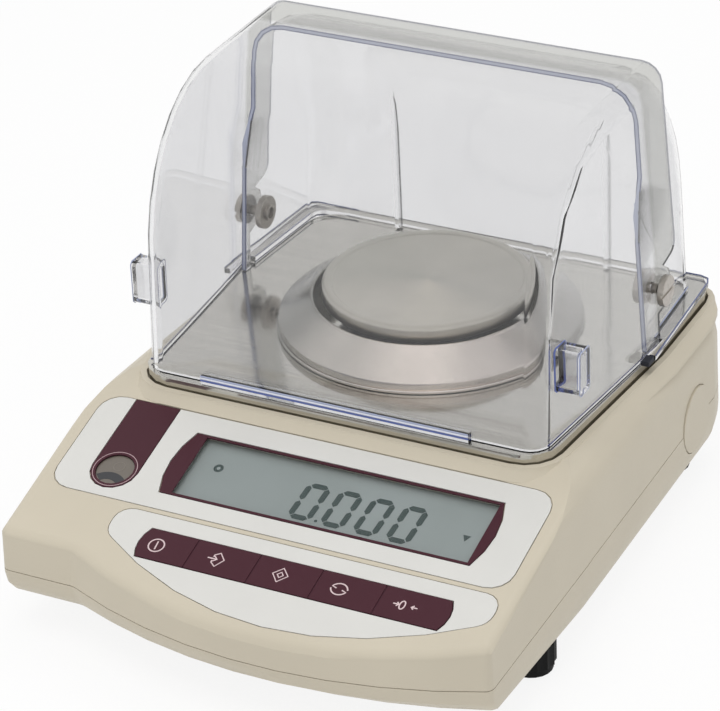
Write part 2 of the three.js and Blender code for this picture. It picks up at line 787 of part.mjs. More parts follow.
// The knob's outline goes in and out round its rim.
const knobOutline = circle(footRadius, 2 * footGripCount).map(
  (p, k) => (k % 2 ? p.setLength(footRadius - footGripDepth) : p),
);
feet.forEach(([name, x, y]) => add(`foot_${name}`, join(
  prismZ(knobOutline, footBaseHeight, footHeight),
  disc(footBaseRadius, 0, footBaseHeight + gap, 0, 0, middleSides),
  disc(footScrewRadius, footHeight / 2, footScrewTop),
).translate(x, y, 0), paint.dark));

sides.forEach(([name, side]) => {
  const outside = prismZ(caseOutline(-capProud), caseBottom, deckHeight);
  add(`side_cap_${name}`, common(capSeat(side, capRadius, capThickness), outside), paint.case);
});

// Case screws, from below into the bosses
caseScrewPlaces.forEach(([x, y], i) => add(`case_screw_${i + 1}`, join(
  disc(caseScrewHead, caseBottom, insideFloor - gap, x, y),
  disc(caseScrewRadius, caseBottom + wall / 4, floorTop + caseScrewLength - gap, x, y),
), paint.steel));

// Display
const filmLow = filmProud - filmThickness;
add('display_overlay', cut(
  prismZ(overlayOutline(0), filmLow, filmProud),
  prismZ(windowOutline(gap), filmLow - overrun, overrun),
  prismZ(stripOutline(gap), filmLow - overrun, overrun),
), paint.film, panel);
add('display_bezel', cut(
  prismZ(windowOutline(0), filmLow, filmProud),
  block(
    windowLeft + bezelSide, -windowTop - windowLength + bezelRim, filmLow - overrun,
    windowRight - bezelRim, -windowTop - bezelRim, overrun,
  ),
), paint.maroon, panel);
const lensTop = filmLow - gap;
add('display_lens', prismZ(lensOutline(), lensTop - lensThickness, lensTop), paint.clear, panel);
const lcdTop = Math.min(lensTop - lensThickness, -wall) - gap;
add('lcd_module', prismZ(grown(lensOutline(), lensLap), lcdTop - lcdThickness, lcdTop), paint.lcd, panel);
const displayBoardTop = lcdTop - lcdThickness - gap;
add('display_board', prismZ(
  grown(lensOutline(), 2 * lensLap), displayBoardTop - boardThickness, displayBoardTop,
), paint.board, panel);

// Bubble level
add('level_strip', cut(
  prismZ(stripOutline(0), filmLow, filmProud),
  disc(levelRadius, filmLow - overrun, overrun, stripCentreX, -levelDown, middleSides),
), paint.maroon, panel);
const cupTop = filmLow - gap;
const placeLevel = (geometry) => geometry.translate(stripCentreX, -levelDown, 0);
const cupLow = cupTop - levelCupDepth;
const cupFloor = cupLow + levelCupWall;
const cupOuter = levelRadius + levelCupWall;
add('level_cup', placeLevel(turned([
  [0, cupLow], [cupOuter, cupLow], [cupOuter, cupTop],
  [levelRadius + gap, cupTop], [levelRadius + gap, cupFloor], [0, cupFloor],
], middleSides)), paint.dark, panel);
add('level_vial', placeLevel(turned([
  [0, cupFloor + gap], [levelRadius, cupFloor + gap], [levelRadius, cupTop], [0, cupTop],
], middleSides)), paint.clear, panel);

// Keys
add('key_overlay', cut(
  prismZ(keyOverlayOutline(0), filmLow, filmProud),
  prismZ(keyBarOutline(gap), filmLow - overrun, overrun),
), paint.film, panel);
keyNames.forEach((name, i) => {
  const middle = keyMiddle(i);
  const low = keyProud - keyThickness;
  const stem = block(
    middle.x - stemWidth / 2, middle.y - stemDepth / 2, low - stemLength,
    middle.x + stemWidth / 2, middle.y + stemDepth / 2, low + keyThickness / 2,
  );
  add(`key_${name}`, join(prismZ(keyOutline(i, 0), low, keyProud), stem), paint.maroon, panel);
});
const switchTop = keyProud - keyThickness - stemLength - keyTravel - gap;
const keyBoardTop = switchTop - switchHeight;
const keyPlaces = keyNames.map((_, i) => keyMiddle(i).toArray());
add('key_board', join(
  block(
    keyEdges[0] - keyBoardLap, -keyTop - keyLength, keyBoardTop - boardThickness,
    keyEdges.at(-1) + keyBoardLap, -keyTop, keyBoardTop,
  ),
  discs(keyPlaces, switchRadius, keyBoardTop - boardThickness / 2, switchTop),
), paint.board, panel);

// Deck plate with its turned-down rim
add('deck_plate', cut(
  prismZ(plateOutline(0), plateTop - plateRimDepth, plateTop),
  prismZ(plateOutline(-plateSheet), plateTop - plateRimDepth - overrun, plateTop - plateSheet),
  disc(plateHole, plateTop - overrun, plateTop + overrun, 0, panCentreY, middleSides),
), paint.steel);

// Wind ring and pan
const atPan = (geometry) => geometry.translate(0, panCentreY, 0);
const ringLow = plateTop + gap;
const ringStep = ringRadius - ringLipWidth;
add('wind_ring', atPan(turned([
  [ringRadius, ringLow], [ringRadius, ringLow + ringLipHeight / 2],
  [ringRadius - ringLipWidth / 2, ringLow + ringLipHeight], [ringStep, ringLow + ringLipHeight],
  [ringOpening + ringSheet, ringTop - ringSheet / 3], [ringOpening + ringSheet / 2, ringTop],
  [ringOpening, ringTop - ringSheet / 2], [ringOpening, ringTop - 2 * ringSheet],
  [ringStep - ringSheet, ringLow + ringLipHeight - ringSheet], [ringStep, ringLow], [ringRadius, ringLow],
])), paint.steel);
const panFloor = panTop - panDish;
const panUnder = panFloor - panSheet;
add('weighing_pan', atPan(turned([
  [0, panUnder], [panRadius - panSheet, panUnder], [panRadius - panSheet, panTop - panSkirt],
  [panRadius, panTop - panSkirt], [panRadius, panTop - panSheet],
  [panRadius - panSheet / 3, panTop - panSheet / 3], [panRadius - panSheet, panTop],
  [panRadius - panRim, panTop], [panRadius - panRim - panDish, panFloor], [0, panFloor],
])), paint.steel);
const seatTop = panUnder - gap;
const seatNeck = shaftRadius + 2 * seatThickness;
const leverLow = frameTop + leverRise;
const shaftLow = leverLow + leverHeight + gap;
add('pan_seat', atPan(turned([
  [0, seatTop - seatHub], [seatNeck, seatTop - seatHub], [seatNeck, seatTop - seatThickness],
  [seatRadius, seatTop - seatThickness], [seatRadius, seatTop], [0, seatTop],
])), paint.castMetal);
add('load_shaft', atPan(disc(shaftRadius, shaftLow, seatTop - seatHub - gap)), paint.steel);

// Load cell, on its frame
const frameOutline = roundRectangle(
  -frameHalfWidth, frameFrontY, frameHalfWidth, frameRearY, frameScrewInset,
);
add('base_frame', cut(
  prismZ(frameOutline, frameLow, frameTop),
  discs(frameScrewPlaces, caseScrewRadius + gap, frameLow - overrun, frameTop + overrun),
), paint.castMetal);
const bodyRearY = frameRearY - frameScrewInset;
const bodyFrontY = bodyRearY - bodyLength;
const bodyLow = frameTop + gap;
const bodyTop = bodyLow + bodyHeight;
const leverRear = panCentreY + leverLength / 2;
const leverFront = panCentreY - leverLength / 2;
add('cell_body', cut(
  block(-bodyHalfWidth, bodyFrontY, bodyLow, bodyHalfWidth, bodyRearY, bodyTop),
  block(-bodyHalfWidth + bodyWall, bodyFrontY - overrun, bodyLow + bodyWall, bodyHalfWidth - bodyWall,
    bodyRearY - bodyWall, bodyTop + overrun),
), paint.castMetal);
add('load_lever', block(
  -leverHalfWidth, leverFront, leverLow, leverHalfWidth, leverRear, leverLow + leverHeight,
), paint.castMetal);
const flexureZ = leverLow + leverHeight / 2;
add('lever_flexure', block(
  -leverHalfWidth / 2, leverRear + gap, flexureZ - flexureThickness,
  leverHalfWidth / 2, bodyRearY - bodyWall - gap, flexureZ + flexureThickness,
), paint.brass);
const forkLow = bodyLow + bodyWall + gap;
const forkTop = leverLow - gap;
add('tuning_fork', cut(
  prismY(rectangle(-forkWidth / 2, forkLow, forkWidth / 2, forkTop), -forkThickness / 2, forkThickness / 2),
  prismY(rectangle(
    -forkTine / 2, forkLow + forkThickness, forkTine / 2, forkTop - forkThickness,
  ), -forkThickness, forkThickness),
).translate(0, panCentreY, 0), paint.brass);
add('overload_stop', disc(stopRadius, forkLow, forkTop - gap, 0, leverFront + stopRadius), paint.steel);
frameScrewPlaces.forEach(([x, y], i) => add(`frame_screw_${i + 1}`, join(
  disc(caseScrewHead, frameTop + gap, frameTop + caseScrewHead, x, y),
  disc(caseScrewRadius, floorTop - gap, frameTop + caseScrewHead / 2, x, y),
), paint.steel));

// Electronics
add('main_board', join(
  block(
    -mainBoardHalfWidth, mainBoardY - mainBoardDepth / 2, mainBoardZ,
    mainBoardHalfWidth, mainBoardY + mainBoardDepth / 2, mainBoardZ + boardThickness,
  ),
  [-chipSpacing, 0, chipSpacing].map((x) => block(
    x - chipHalf, mainBoardY - chipHalf, mainBoardZ + boardThickness / 2,
    x + chipHalf, mainBoardY + chipHalf, mainBoardZ + boardThickness + chipHeight,
  )),
), paint.board);
const ribbonY = mainBoardY + chipHalf + gap;
const aboveRibbon = panelHeight - slopeRise * (panelY - ribbonY) + displayBoardTop - boardThickness;
add('display_ribbon', block(
  -ribbonWidth / 2, ribbonY, mainBoardZ + boardThickness + gap,
  ribbonWidth / 2, ribbonY + ribbonThickness, aboveRibbon - ribbonDrop,
), paint.grey);

// Rear plate with its sockets
const socketZ = (rearPlateLow + rearPlateHigh) / 2;
const plateRear = rearY - draft;
const atJack = (geometry) => geometry.translate(jackX, 0, socketZ);
const atSerial = (geometry) => geometry.translate(serialX, 0, socketZ);
const serialOutline = (grow) => rectangle(
  -serialHalfWidth - grow, -serialHalfHeight - grow, serialHalfWidth + grow, serialHalfHeight + grow,
);
add('rear_plate', cut(
  prismY(roundCorners(
    rectangle(-rearPlateHalfWidth, rearPlateLow, rearPlateHalfWidth, rearPlateHigh), rearPlateCorner,
  ), plateRear - rearPlateThickness, plateRear),
  atJack(prismY(circle(jackRadius + gap, smallSides), plateRear - overrun, plateRear + overrun)),
  atSerial(prismY(serialOutline(gap), plateRear - overrun, plateRear + overrun)),
), paint.dark);
const jackFloor = plateRear - jackLength + jackHole;
add('power_jack', atJack(cut(
  prismY(circle(jackRadius, smallSides), plateRear - jackLength, plateRear),
  cut(
    prismY(circle(jackHole, smallSides), jackFloor, plateRear + overrun),
    prismY(circle(jackPin, smallSides), jackFloor - overrun, plateRear - jackHole / 2),
  ),
)), paint.dark);
const [mouthLow, mouthHigh] = [serialMouthHalf - serialMouthLean, serialMouthHalf + serialMouthLean];
const mouthRise = serialHalfHeight - serialShellWall;
add('serial_socket', atSerial(cut(
  prismY(serialOutline(0), plateRear - serialDepth, plateRear),
  prismY(roundCorners([
    point(-mouthLow, -mouthRise), point(mouthLow, -mouthRise),
    point(mouthHigh, mouthRise), point(-mouthHigh, mouthRise),
  ], serialShellWall), plateRear - serialMouthDepth, plateRear + overrun),
)), paint.grey);

// Windshield

// A side view of the curved cover from the foot of its upright wall over the crown, as a run of points.
function crown(wallY, foot, shoulder, top, depth, toward) {
  const centre = wallY + toward * depth;
  return [foot, ...Array.from({ length: crownSteps + 1 }, (_, k) => {
    const angle = Math.PI / 2 * k / crownSteps;
    return point(centre - toward * depth * Math.cos(angle), shoulder + (top - shoulder) * Math.sin(angle));
  })];
}

// A cover with rounded edges, as a row of side views from the left to the right.
// halfAt gives half the cover's width at a place in the side view.
function cover(side, corner, inset, halfAt) {
  const angles = Array.from({ length: arcSteps + 1 }, (_, k) => Math.PI / 2 * k / arcSteps);
  const radius = corner - inset;
  const view = (angle, hand) => insetOutline(side, inset + radius * (1 - Math.sin(angle))).map((p) => {
    const half = halfAt(p.x, p.y) - inset - radius * (1 - Math.cos(angle));
    return new THREE.Vector3(p.x, p.y, hand * half);
  });
  return stack([
    ...angles.map((angle) => view(angle, -1)),
    ...angles.toReversed().map((angle) => view(angle, 1)),
  ]).applyMatrix4(sideways);
}

// Half a cover's width at a place between its front and its rear, and between its foot and its top.
const halfBetween = ([frontLow, rearLow, frontTop, rearTop], [y0, y1], [z0, z1]) => (y, z) => {
  const along = (y - y0) / (y1 - y0);
  const low = THREE.MathUtils.lerp(frontLow, rearLow, along);
  const high = THREE.MathUtils.lerp(frontTop, rearTop, along);
  return THREE.MathUtils.lerp(low, high, (z - z0) / (z1 - z0));
};

const coverLow = plateTop + gap;
const coverUnder = coverLow - coverReach;
const hoodHalf = halfBetween(
  [hoodFrontHalf, hoodRearHalf, hoodFrontTopHalf, hoodRearTopHalf],
  [hoodFrontY, hoodRearY], [coverLow, hoodTop],
);
const hoodAhead = hoodFrontY - coverReach;
const hoodSide = [
  point(hoodAhead, coverUnder),
  ...crown(hoodRearY, point(hoodRearY, coverUnder), hoodShoulder, hoodTop, hoodCrownDepth, -1),
  point(hoodAhead, hoodTop),
];
const hoodForm = (inset) => cover(hoodSide, hoodCorner, inset, hoodHalf);
const hoodKeep = prismX([
  point(hoodFrontY, coverLow), point(hoodRearY + overrun, coverLow),
  point(hoodRearY + overrun, hoodTop + overrun), point(hoodFrontY + hoodStepY, hoodTop + overrun),
  point(hoodFrontY + hoodStepY, hoodStepHigh), point(hoodFrontY, hoodStepLow),
], -pastSides, pastSides);

// The hood's foot flange, open in the middle and notched for the lid's feet
const flangeTop = coverLow + flangeThickness;
const throughFlange = (x0, y0, x1, y1) => block(x0, y0, coverLow - overrun, x1, y1, flangeTop + overrun);
const flangeAhead = flangeFrontY - overrun;
const flange = cut(
  prismZ(roundCorners([
    point(-flangeFrontHalf, flangeFrontY), point(flangeFrontHalf, flangeFrontY),
    point(flangeRearHalf, flangeRearY), point(-flangeRearHalf, flangeRearY),
  ], [0, 0, flangeCorner, flangeCorner]), coverLow, flangeTop),
  throughFlange(-hoodFrontHalf, flangeAhead, hoodFrontHalf, hoodFrontY),
  common(hoodForm(sheet), throughFlange(-pastSides, flangeAhead, pastSides, flangeRearY)),
  sides.map(([, side]) => {
    const [x0, x1] = between(side, hoodFrontHalf - gap, lidRearHalf + gap);
    return throughFlange(x0, flangeAhead, x1, lidFootY + gap);
  }),
);
const wallMiddle = hoodRearY - sheet / 2;
const ribFront = hoodRearY - sheet - ribDepth;
const ribSide = [
  point(ribFront, coverLow + gap), point(wallMiddle, coverLow + gap), point(wallMiddle, hoodShoulder),
  point(wallMiddle - ribDepth, ribTop), point(ribFront, hoodShoulder - ribDepth),
];
const ribs = [-ribX, ribX].map(
  (x) => common(prismX(ribSide, x - ribWidth / 2, x + ribWidth / 2), hoodForm(0)),
);
const bore = rod(pivotRadius + pivotClearance, -lidRearHalf - overrun, lidRearHalf + overrun, pivotY, pivotZ);
const hoodShell = common(cut(hoodForm(0), hoodForm(sheet)), hoodKeep);
add('windshield_hood', cut(join(hoodShell, flange, ribs), bore), paint.clear);

const lidHalf = halfBetween(
  [lidFrontHalf, lidRearHalf, lidFrontTopHalf, lidRearTopHalf], [lidFrontY, lidRearY], [coverLow, lidTop],
);
const lidBehind = lidRearY + coverReach;
const lidFace = lidFrontY + lidLean;
const lidSide = [
  point(lidBehind, coverUnder), point(lidBehind, lidTop),
  ...crown(lidFace, point(lidFrontY, coverUnder), lidShoulder, lidTop, lidCrownDepth, 1).toReversed(),
];
const lidForm = (inset) => cover(lidSide, lidCorner, inset, lidHalf);
const earArc = Array.from({ length: arcSteps + 1 }, (_, k) => {
  const angle = pivotEarLow + (pivotEarTop - pivotEarLow) * k / arcSteps;
  return point(pivotY + pivotEarRadius * Math.cos(angle), pivotZ + pivotEarRadius * Math.sin(angle));
});
const lidAhead = lidFrontY - overrun;
const lidKeep = prismX([
  point(lidAhead, coverLow), point(lidFootY, coverLow), point(lidFootY, pivotZ - pivotEarRadius), ...earArc,
  ...roundCorners([
    earArc.at(-1), point(lidRearY, pivotZ + lidNotchRise), point(lidRearY, lidTop + overrun),
  ], [0, lidNotchRadius, 0]).slice(1, -1),
  point(lidRearY, lidTop + overrun), point(lidAhead, lidTop + overrun),
], -pastSides, pastSides);

const gripOutline = (inset) => roundRectangle(
  gripFrontY + inset, gripLow + inset, gripFrontY + gripLength - inset, gripHigh - inset,
  gripCorner - inset / 2,
);
const grips = sides.map(([, side]) => prismX(gripOutline(0), ...between(side, lidFrontTopHalf, gripOut)));
const gripHollows = sides.map(([, side]) => prismX(
  gripOutline(gripWall), ...between(side, lidFrontTopHalf - overrun, gripOut - gripWall),
));
const lidLip = prismX(rectangle(
  lidFrontY - lipProud, coverLow, lidFrontY + sheet, coverLow + lipHeight,
), lipLeft, lipRight);
add('windshield_lid', cut(
  join(common(lidForm(0), lidKeep), grips, lidLip), lidForm(sheet), gripHollows, bore,
), paint.clear);

// A rubber pad on the plate, between the lid's right foot and the hood's flange
const padRear = flangeFrontY - gap;
const padOuter = flangeFrontHalf - padInset;
const padOutline = rectangle(padRear - padLength, coverLow, padRear, flangeTop);
add('rest_pad', prismX(padOutline, padOuter - padWidth, padOuter), paint.dark);

// Pivots, each a screw from outside and a round nut on the inside of the hood
const headFace = lidHalf(pivotY + screwHeadRadius, pivotZ - screwHeadRadius) + 3 * gap;
const nutFace = hoodHalf(pivotY + nutRadius, pivotZ + nutRadius) - sheet - gap;
const pivotRod = (radius, side, near, far, count) =>
  rod(radius, ...between(side, near, far), pivotY, pivotZ, count);
sides.forEach(([name, side]) => {
  const headEnd = headFace + screwHeadThickness;
  const nutEnd = nutFace - nutThickness;
  add(`pivot_screw_${name}`, cut(
    join(
      pivotRod(screwHeadRadius, side, headFace, headEnd, middleSides),
      pivotRod(pivotRadius, side, nutEnd, headFace + screwHeadThickness / 2, smallSides),
    ),
    prismX(rectangle(
      pivotY - screwHeadRadius - overrun, pivotZ - screwSlotWidth / 2,
      pivotY + screwHeadRadius + overrun, pivotZ + screwSlotWidth / 2,
    ), ...between(side, headEnd - screwSlotDepth, headEnd + overrun)),
  ), paint.steel);
  add(`pivot_nut_${name}`, cut(
    join(
      pivotRod(nutRadius, side, nutEnd, nutFace, middleSides),
      pivotRod(nutHubRadius, side, nutEnd - nutHubThickness, nutFace - nutThickness / 2, smallSides),
    ),
    pivotRod(pivotRadius + gap, side, nutEnd - nutHubThickness - overrun, nutFace + overrun, smallSides),
  ), paint.steel);
});

export default balance;
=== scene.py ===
import math
import bpy
from mathutils import Matrix, Vector


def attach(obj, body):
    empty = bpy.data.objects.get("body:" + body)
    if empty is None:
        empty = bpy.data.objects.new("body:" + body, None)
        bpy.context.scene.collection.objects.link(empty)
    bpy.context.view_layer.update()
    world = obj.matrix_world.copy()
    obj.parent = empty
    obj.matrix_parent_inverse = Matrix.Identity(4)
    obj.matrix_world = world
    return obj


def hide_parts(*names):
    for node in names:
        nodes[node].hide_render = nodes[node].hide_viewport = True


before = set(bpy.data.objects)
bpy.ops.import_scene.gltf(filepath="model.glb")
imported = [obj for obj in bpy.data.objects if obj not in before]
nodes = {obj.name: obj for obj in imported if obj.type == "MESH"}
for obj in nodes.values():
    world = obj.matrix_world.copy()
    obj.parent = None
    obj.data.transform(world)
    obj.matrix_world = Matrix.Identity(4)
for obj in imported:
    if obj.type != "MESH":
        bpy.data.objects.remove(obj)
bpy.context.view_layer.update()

# Lengths below are in millimetres and are turned into metres where a piece is made
MM = 0.001

# The sloping panel: the place of its upper edge, its slope, and heights measured from it
PANEL_Y = -33.8
PANEL_Z = 59.25
PANEL_SLOPE = math.radians(16)
PANEL = (
    Matrix.Translation((0, PANEL_Y * MM, PANEL_Z * MM))
    @ Matrix.Rotation(PANEL_SLOPE, 4, "X")
)
FILM_TOP = 0.1
KEY_TOP = 0.3
LCD_TOP = -2.8

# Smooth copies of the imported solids: how far their edges are rounded and their corners and flats merged
CASE_ROUNDING = 0.3
FILM_ROUNDING = 0.08
KEY_ROUNDING = 0.12
PLATE_ROUNDING = 0.7
REAR_ROUNDING = 0.25
JACK_ROUNDING = 0.2
NUT_ROUNDING = 0.4
WELD = 0.002
FLAT_DEGREES = 0.3

# Display: its digits, point, unit mark and steady mark, placed on the panel
DIGITS = 4
DIGIT_LEFT = 2.0        # left end of the first digit's upper stroke
DIGIT_TOP = 17.6        # its upper stroke, down the panel
DIGIT_PITCH = 12.15
DIGIT_WIDTH = 6.9
DIGIT_HEIGHT = 14.7
DIGIT_SLANT = 0.06
STROKE = 2.1
STROKE_GAP = 0.3
INK_LOW = LCD_TOP + 0.02
INK_HIGH = LCD_TOP + 0.12
POINT_X, POINT_DOWN, POINT_RADIUS = 10.9, 32.2, 0.55
UNIT_MARK = [(61.4, -23.6), (64.2, -23.6), (62.8, -26.2)]
STEADY_X, STEADY_DOWN, STEADY_RADIUS = -32.4, 19.6, 1.25
STEADY_LINE, STEADY_TOP = 1.1, LCD_TOP + 0.03

# Bubble level, on the panel
LEVEL_X = -65.7
LEVEL_DOWN = 32.3
LEVEL_RADIUS = 6.75
LEVEL_FACE_LOW, LEVEL_FACE_TOP = -0.66, -0.56
LEVEL_ROUNDING = 0.3
RING_LINE_RADIUS, RING_LINE = 7.85, 0.24
ARCH_DOWN = LEVEL_DOWN + 9.0
ARCH_OUTER, ARCH_INNER, ARCH_TOP = 7.8, 4.5, -0.5
BUBBLE_RIGHT, BUBBLE_UP, BUBBLE_RADIUS = 0.6, 1.9, 2.0
BUBBLE_LINE, BUBBLE_TOP = 0.3, -0.52

# Keys
KEY_BACK_LOW, KEY_BACK_TOP = -1.69, -1.5
KEY_BACK_OUTLINE = [
    (-39.7, -53.3), (-40.9, -56.5), (-41.2, -59.8), (-40.9, -63.1), (-39.7, -66.4),
    (71.5, -66.4), (72.7, -63.1), (73.0, -59.8), (72.7, -56.5), (71.5, -53.3),
]
KEY_SEAMS = [-21.4, 2.0, 25.1, 48.2]
SEAM_HALF, SEAM_UPPER, SEAM_LOWER, SEAM_TOP = 0.2, -53.5, -66.2, 0.12
PRINT = 0.5

# Draught ring, round the same middle as the pan: its side view, up the outside and down the inside
PAN_Y = 46.3
RING_BASE, RING_SEAT = 67.1, 51.4
RING_FOOT, RING_BEAD, RING_BEAD_Z = 54.0, 0.4, 67.7
RING_GROOVE, RING_GROOVE_LOW, RING_GROOVE_HIGH = 53.2, 68.15, 68.5
RING_WALL, RING_WALL_LOW, RING_WALL_HIGH = 53.45, 68.6, 70.2
RING_SHOULDER, RING_SHOULDER_Z, RING_SHOULDER_ROUND = 52.2, 70.4, 1.2
RING_CONE_END, RING_CONE_TOP = 42.0, 78.6
RING_LIP, RING_LIP_Z, RING_LIP_ROUND = 41.3, 78.3, 0.9
RING_THROAT_Z = 76.9
RING_INSIDE, RING_INSIDE_Z = 50.2, 69.3

# Weighing pan: its side view from the middle of the underside to the middle of the top
PAN_MIDDLE, PAN_UNDER, PAN_FLOOR = 0.5, 81.8, 83.0
PAN_SKIRT_INSIDE, PAN_SKIRT_LOW, PAN_CHAMFER = 36.3, 78.2, 0.3
PAN_RADIUS, PAN_TOP, PAN_RIM_ROUND = 37.5, 83.6, 1.3
PAN_RIM_INSIDE, PAN_RIM_EASE = 34.6, 0.1
PAN_DISH_STEPS = [(34.2, PAN_TOP - PAN_RIM_EASE), (33.7, PAN_FLOOR + PAN_RIM_EASE), (33.2, PAN_FLOOR)]
TURNED_SIDES = 144

# Serial socket's pins, in two rows
SOCKET_Z = 41.5
SERIAL_X = 14
PIN_PITCH, PIN_RADIUS, PIN_ROW = 2.3, 0.5, 1.3
PIN_BASE_Y, PIN_TIP_Y = 112.1, 115.8
PIN_ROWS = [("upper", 5, PIN_ROW), ("lower", 4, -PIN_ROW)]

# Windshield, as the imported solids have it
HOOD_FRONT_Y, HOOD_STEP_Y = 53.0, 59.0
COVER_LOW, LID_TOP = 67.1, 166.3
LID_FRONT_Y, LID_REAR_Y = -26.4, 76.3
LID_FRONT_HALF, LID_REAR_HALF = 75.4, 83.0
LID_FRONT_TOP_HALF, LID_REAR_TOP_HALF = 75.0, 75.8
LIP_LEFT, LIP_RIGHT, LIP_FRONT_Y, LIP_TOP = -52.0, 50.0, -27.3, 70.3
GRIP_FRONT_Y, GRIP_REAR_Y, GRIP_LOW, GRIP_HIGH, GRIP_OUT = -14.4, -6.2, 85.3, 101.5, 85.1
FLANGE_FRONT_Y, FLANGE_REAR_Y, FLANGE_TOP = 48.8, 109.9, 69.1
FLANGE_FRONT_HALF, FLANGE_REAR_HALF = 85.5, 81.6

# Painted lines of light along the covers' edges: pale ones are painted highlights, blue and navy ones the
# coloured light in the acrylic's edges
EDGE_REACH = 1          # how far past its stated place a cut edge is looked for
HOOD_BORDER, LID_BORDER = 0.45, 0.3
GRIP_CHAMFER, GRIP_END, GRIP_END_LINE = 1, 0.2, 0.2
FOOT_RISE, FOOT_LINE, FOOT_STOPS = 0.9, 0.28, (-20, 0, 20, 40, 58)
LIP_STANDS_OUT, LIP_STOPS = 0.1, (LIP_LEFT, -20, 15, LIP_RIGHT)
RIM_LINE, RIM_FRONT_STEP, RIM_OUT, RIM_INNER_END = 0.3, 0.3, 0.2, 60
RIM_CORNER, RIM_CORNER_CUT, RIM_CORNER_CUT_Y = 4, 0.9, 1.1
HOOD_FOOT_LINE, HOOD_FOOT_FRONT, HOOD_FOOT_REAR = 0.25, (79, 61), (76.6, 100)


# Colours and finishes


def tone(red, green, blue):
    """A colour as a screen shows it, from 0 to 255, turned into what a shader takes."""
    def linear(value):
        share = value / 255
        return share / 12.92 if share <= 0.04045 else ((share + 0.055) / 1.055) ** 2.4
    return (linear(red), linear(green), linear(blue), 1.0)


def shaded(colour, factor):
    """The same colour, lighter or darker."""
    return tuple(min(1.0, c * factor) for c in colour[:3]) + (1.0,)


def any_ray(tree, kinds):
    """1 for the kinds of ray that are named, and 0 for all others."""
    ray = tree.nodes.new("ShaderNodeLightPath")
    result = ray.outputs[kinds[0]]
    for kind in kinds[1:]:
        either = tree.nodes.new("ShaderNodeMath")
        either.operation = "MAXIMUM"
        tree.links.new(result, either.inputs[0])
        tree.links.new(ray.outputs[kind], either.inputs[1])
        result = either.outputs["Value"]
    return result


SEEN_RAYS = ("Is Camera Ray", "Is Glossy Ray", "Is Transmission Ray")
LIGHT_RAYS = ("Is Shadow Ray", "Is Diffuse Ray")


class Finish:
    """One material. Its patterns lie in the piece's own coordinates, which are those of the object."""

    def __init__(self, name, colour, roughness, metallic=0.0):
        self.material = bpy.data.materials.new(name)
        self.material.use_nodes = True
        self.tree = self.material.node_tree
        self.shader = self.tree.nodes["Principled BSDF"]
        self.colour = colour
        self.set("Base Color", colour)
        self.set("Roughness", roughness)
        self.set("Metallic", metallic)

    def set(self, socket, value):
        self.shader.inputs[socket].default_value = value

    def node(self, kind, **values):
        made = self.tree.nodes.new(kind)
        for key, value in values.items():
            setattr(made, key, value)
        return made

    def link(self, out, into):
        self.tree.links.new(out, into)

    def place(self, stretch=(1, 1, 1), centre=(0, 0, 0)):
        """The place on the piece, stretched, with its zero moved to a centre in millimetres."""
        where = self.node("ShaderNodeTexCoord")
        mapping = self.node("ShaderNodeMapping")
        mapping.vector_type = "POINT"
        mapping.inputs["Location"].default_value = [-c * MM * s for c, s in zip(centre, stretch)]
        mapping.inputs["Scale"].default_value = stretch
        self.link(where.outputs["Object"], mapping.inputs["Vector"])
        return mapping.outputs["Vector"]

    def noise(self, size, stretch=(1, 1, 1), detail=3.0):
        """Cloudy noise whose patches are about this many millimetres wide."""
        made = self.node("ShaderNodeTexNoise")
        made.inputs["Scale"].default_value = 1 / (size * MM)
        made.inputs["Detail"].default_value = detail
        self.link(self.place(stretch), made.inputs["Vector"])
        return made.outputs["Fac"]

    def turned(self, centre, pitch):
        """Fine rings round an upright axis, as a lathe leaves them."""
        length = self.node("ShaderNodeVectorMath", operation="LENGTH")
        self.link(self.place((1, 1, 0), centre), length.inputs[0])
        scaled = self.node("ShaderNodeMath", operation="MULTIPLY")
        scaled.inputs[1].default_value = 1 / (pitch * MM)
        self.link(length.outputs["Value"], scaled.inputs[0])
        made = self.node("ShaderNodeTexNoise", noise_dimensions="1D")
        made.inputs["Scale"].default_value = 1.0
        made.inputs["Detail"].default_value = 2.0
        self.link(scaled.outputs["Value"], made.inputs["W"])
        return made.outputs["Fac"]

    def span(self, value, low, high, start=0.3, end=0.7):
        """A pattern's values spread over a range."""
        made = self.node("ShaderNodeMapRange")
        made.inputs["From Min"].default_value = start
        made.inputs["From Max"].default_value = end
        made.inputs["To Min"].default_value = low
        made.inputs["To Max"].default_value = high
        self.link(value, made.inputs["Value"])
        return made.outputs["Result"]

    def blend(self, share, first, second):
        """A colour that runs from one to another as the share goes from 0 to 1."""
        made = self.node("ShaderNodeMix", data_type="RGBA")
        self.link(share, made.inputs["Factor"])
        for socket, colour in (("A", first), ("B", second)):
            target = [i for i in made.inputs if i.name == socket and i.type == "RGBA"][0]
            if isinstance(colour, tuple):
                target.default_value = colour
            else:
                self.link(colour, target)
        return [o for o in made.outputs if o.type == "RGBA"][0]

    def tint(self, pattern, other):
        """The base colour wanders towards another one with a pattern."""
        mixed = self.blend(self.span(pattern, 0, 1), self.colour, other)
        self.link(mixed, self.shader.inputs["Base Color"])

    def gloss(self, pattern, low, high):
        """The roughness wanders between two values with a pattern."""
        self.link(self.span(pattern, low, high), self.shader.inputs["Roughness"])

    def relief(self, pattern, depth, strength):
        """The pattern as fine relief of that depth in millimetres."""
        made = self.node("ShaderNodeBump")
        made.inputs["Strength"].default_value = strength
        made.inputs["Distance"].default_value = depth * MM
        self.link(pattern, made.inputs["Height"])
        self.link(made.outputs["Normal"], self.shader.inputs["Normal"])

    def replaced(self, share, other):
        """Another shader takes this one's place by that share."""
        mixed = self.node("ShaderNodeMixShader")
        self.link(share, mixed.inputs["Fac"])
        self.link(self.shader.outputs["BSDF"], mixed.inputs[1])
        self.link(other, mixed.inputs[2])
        self.link(mixed.outputs["Shader"], self.tree.nodes["Material Output"].inputs["Surface"])


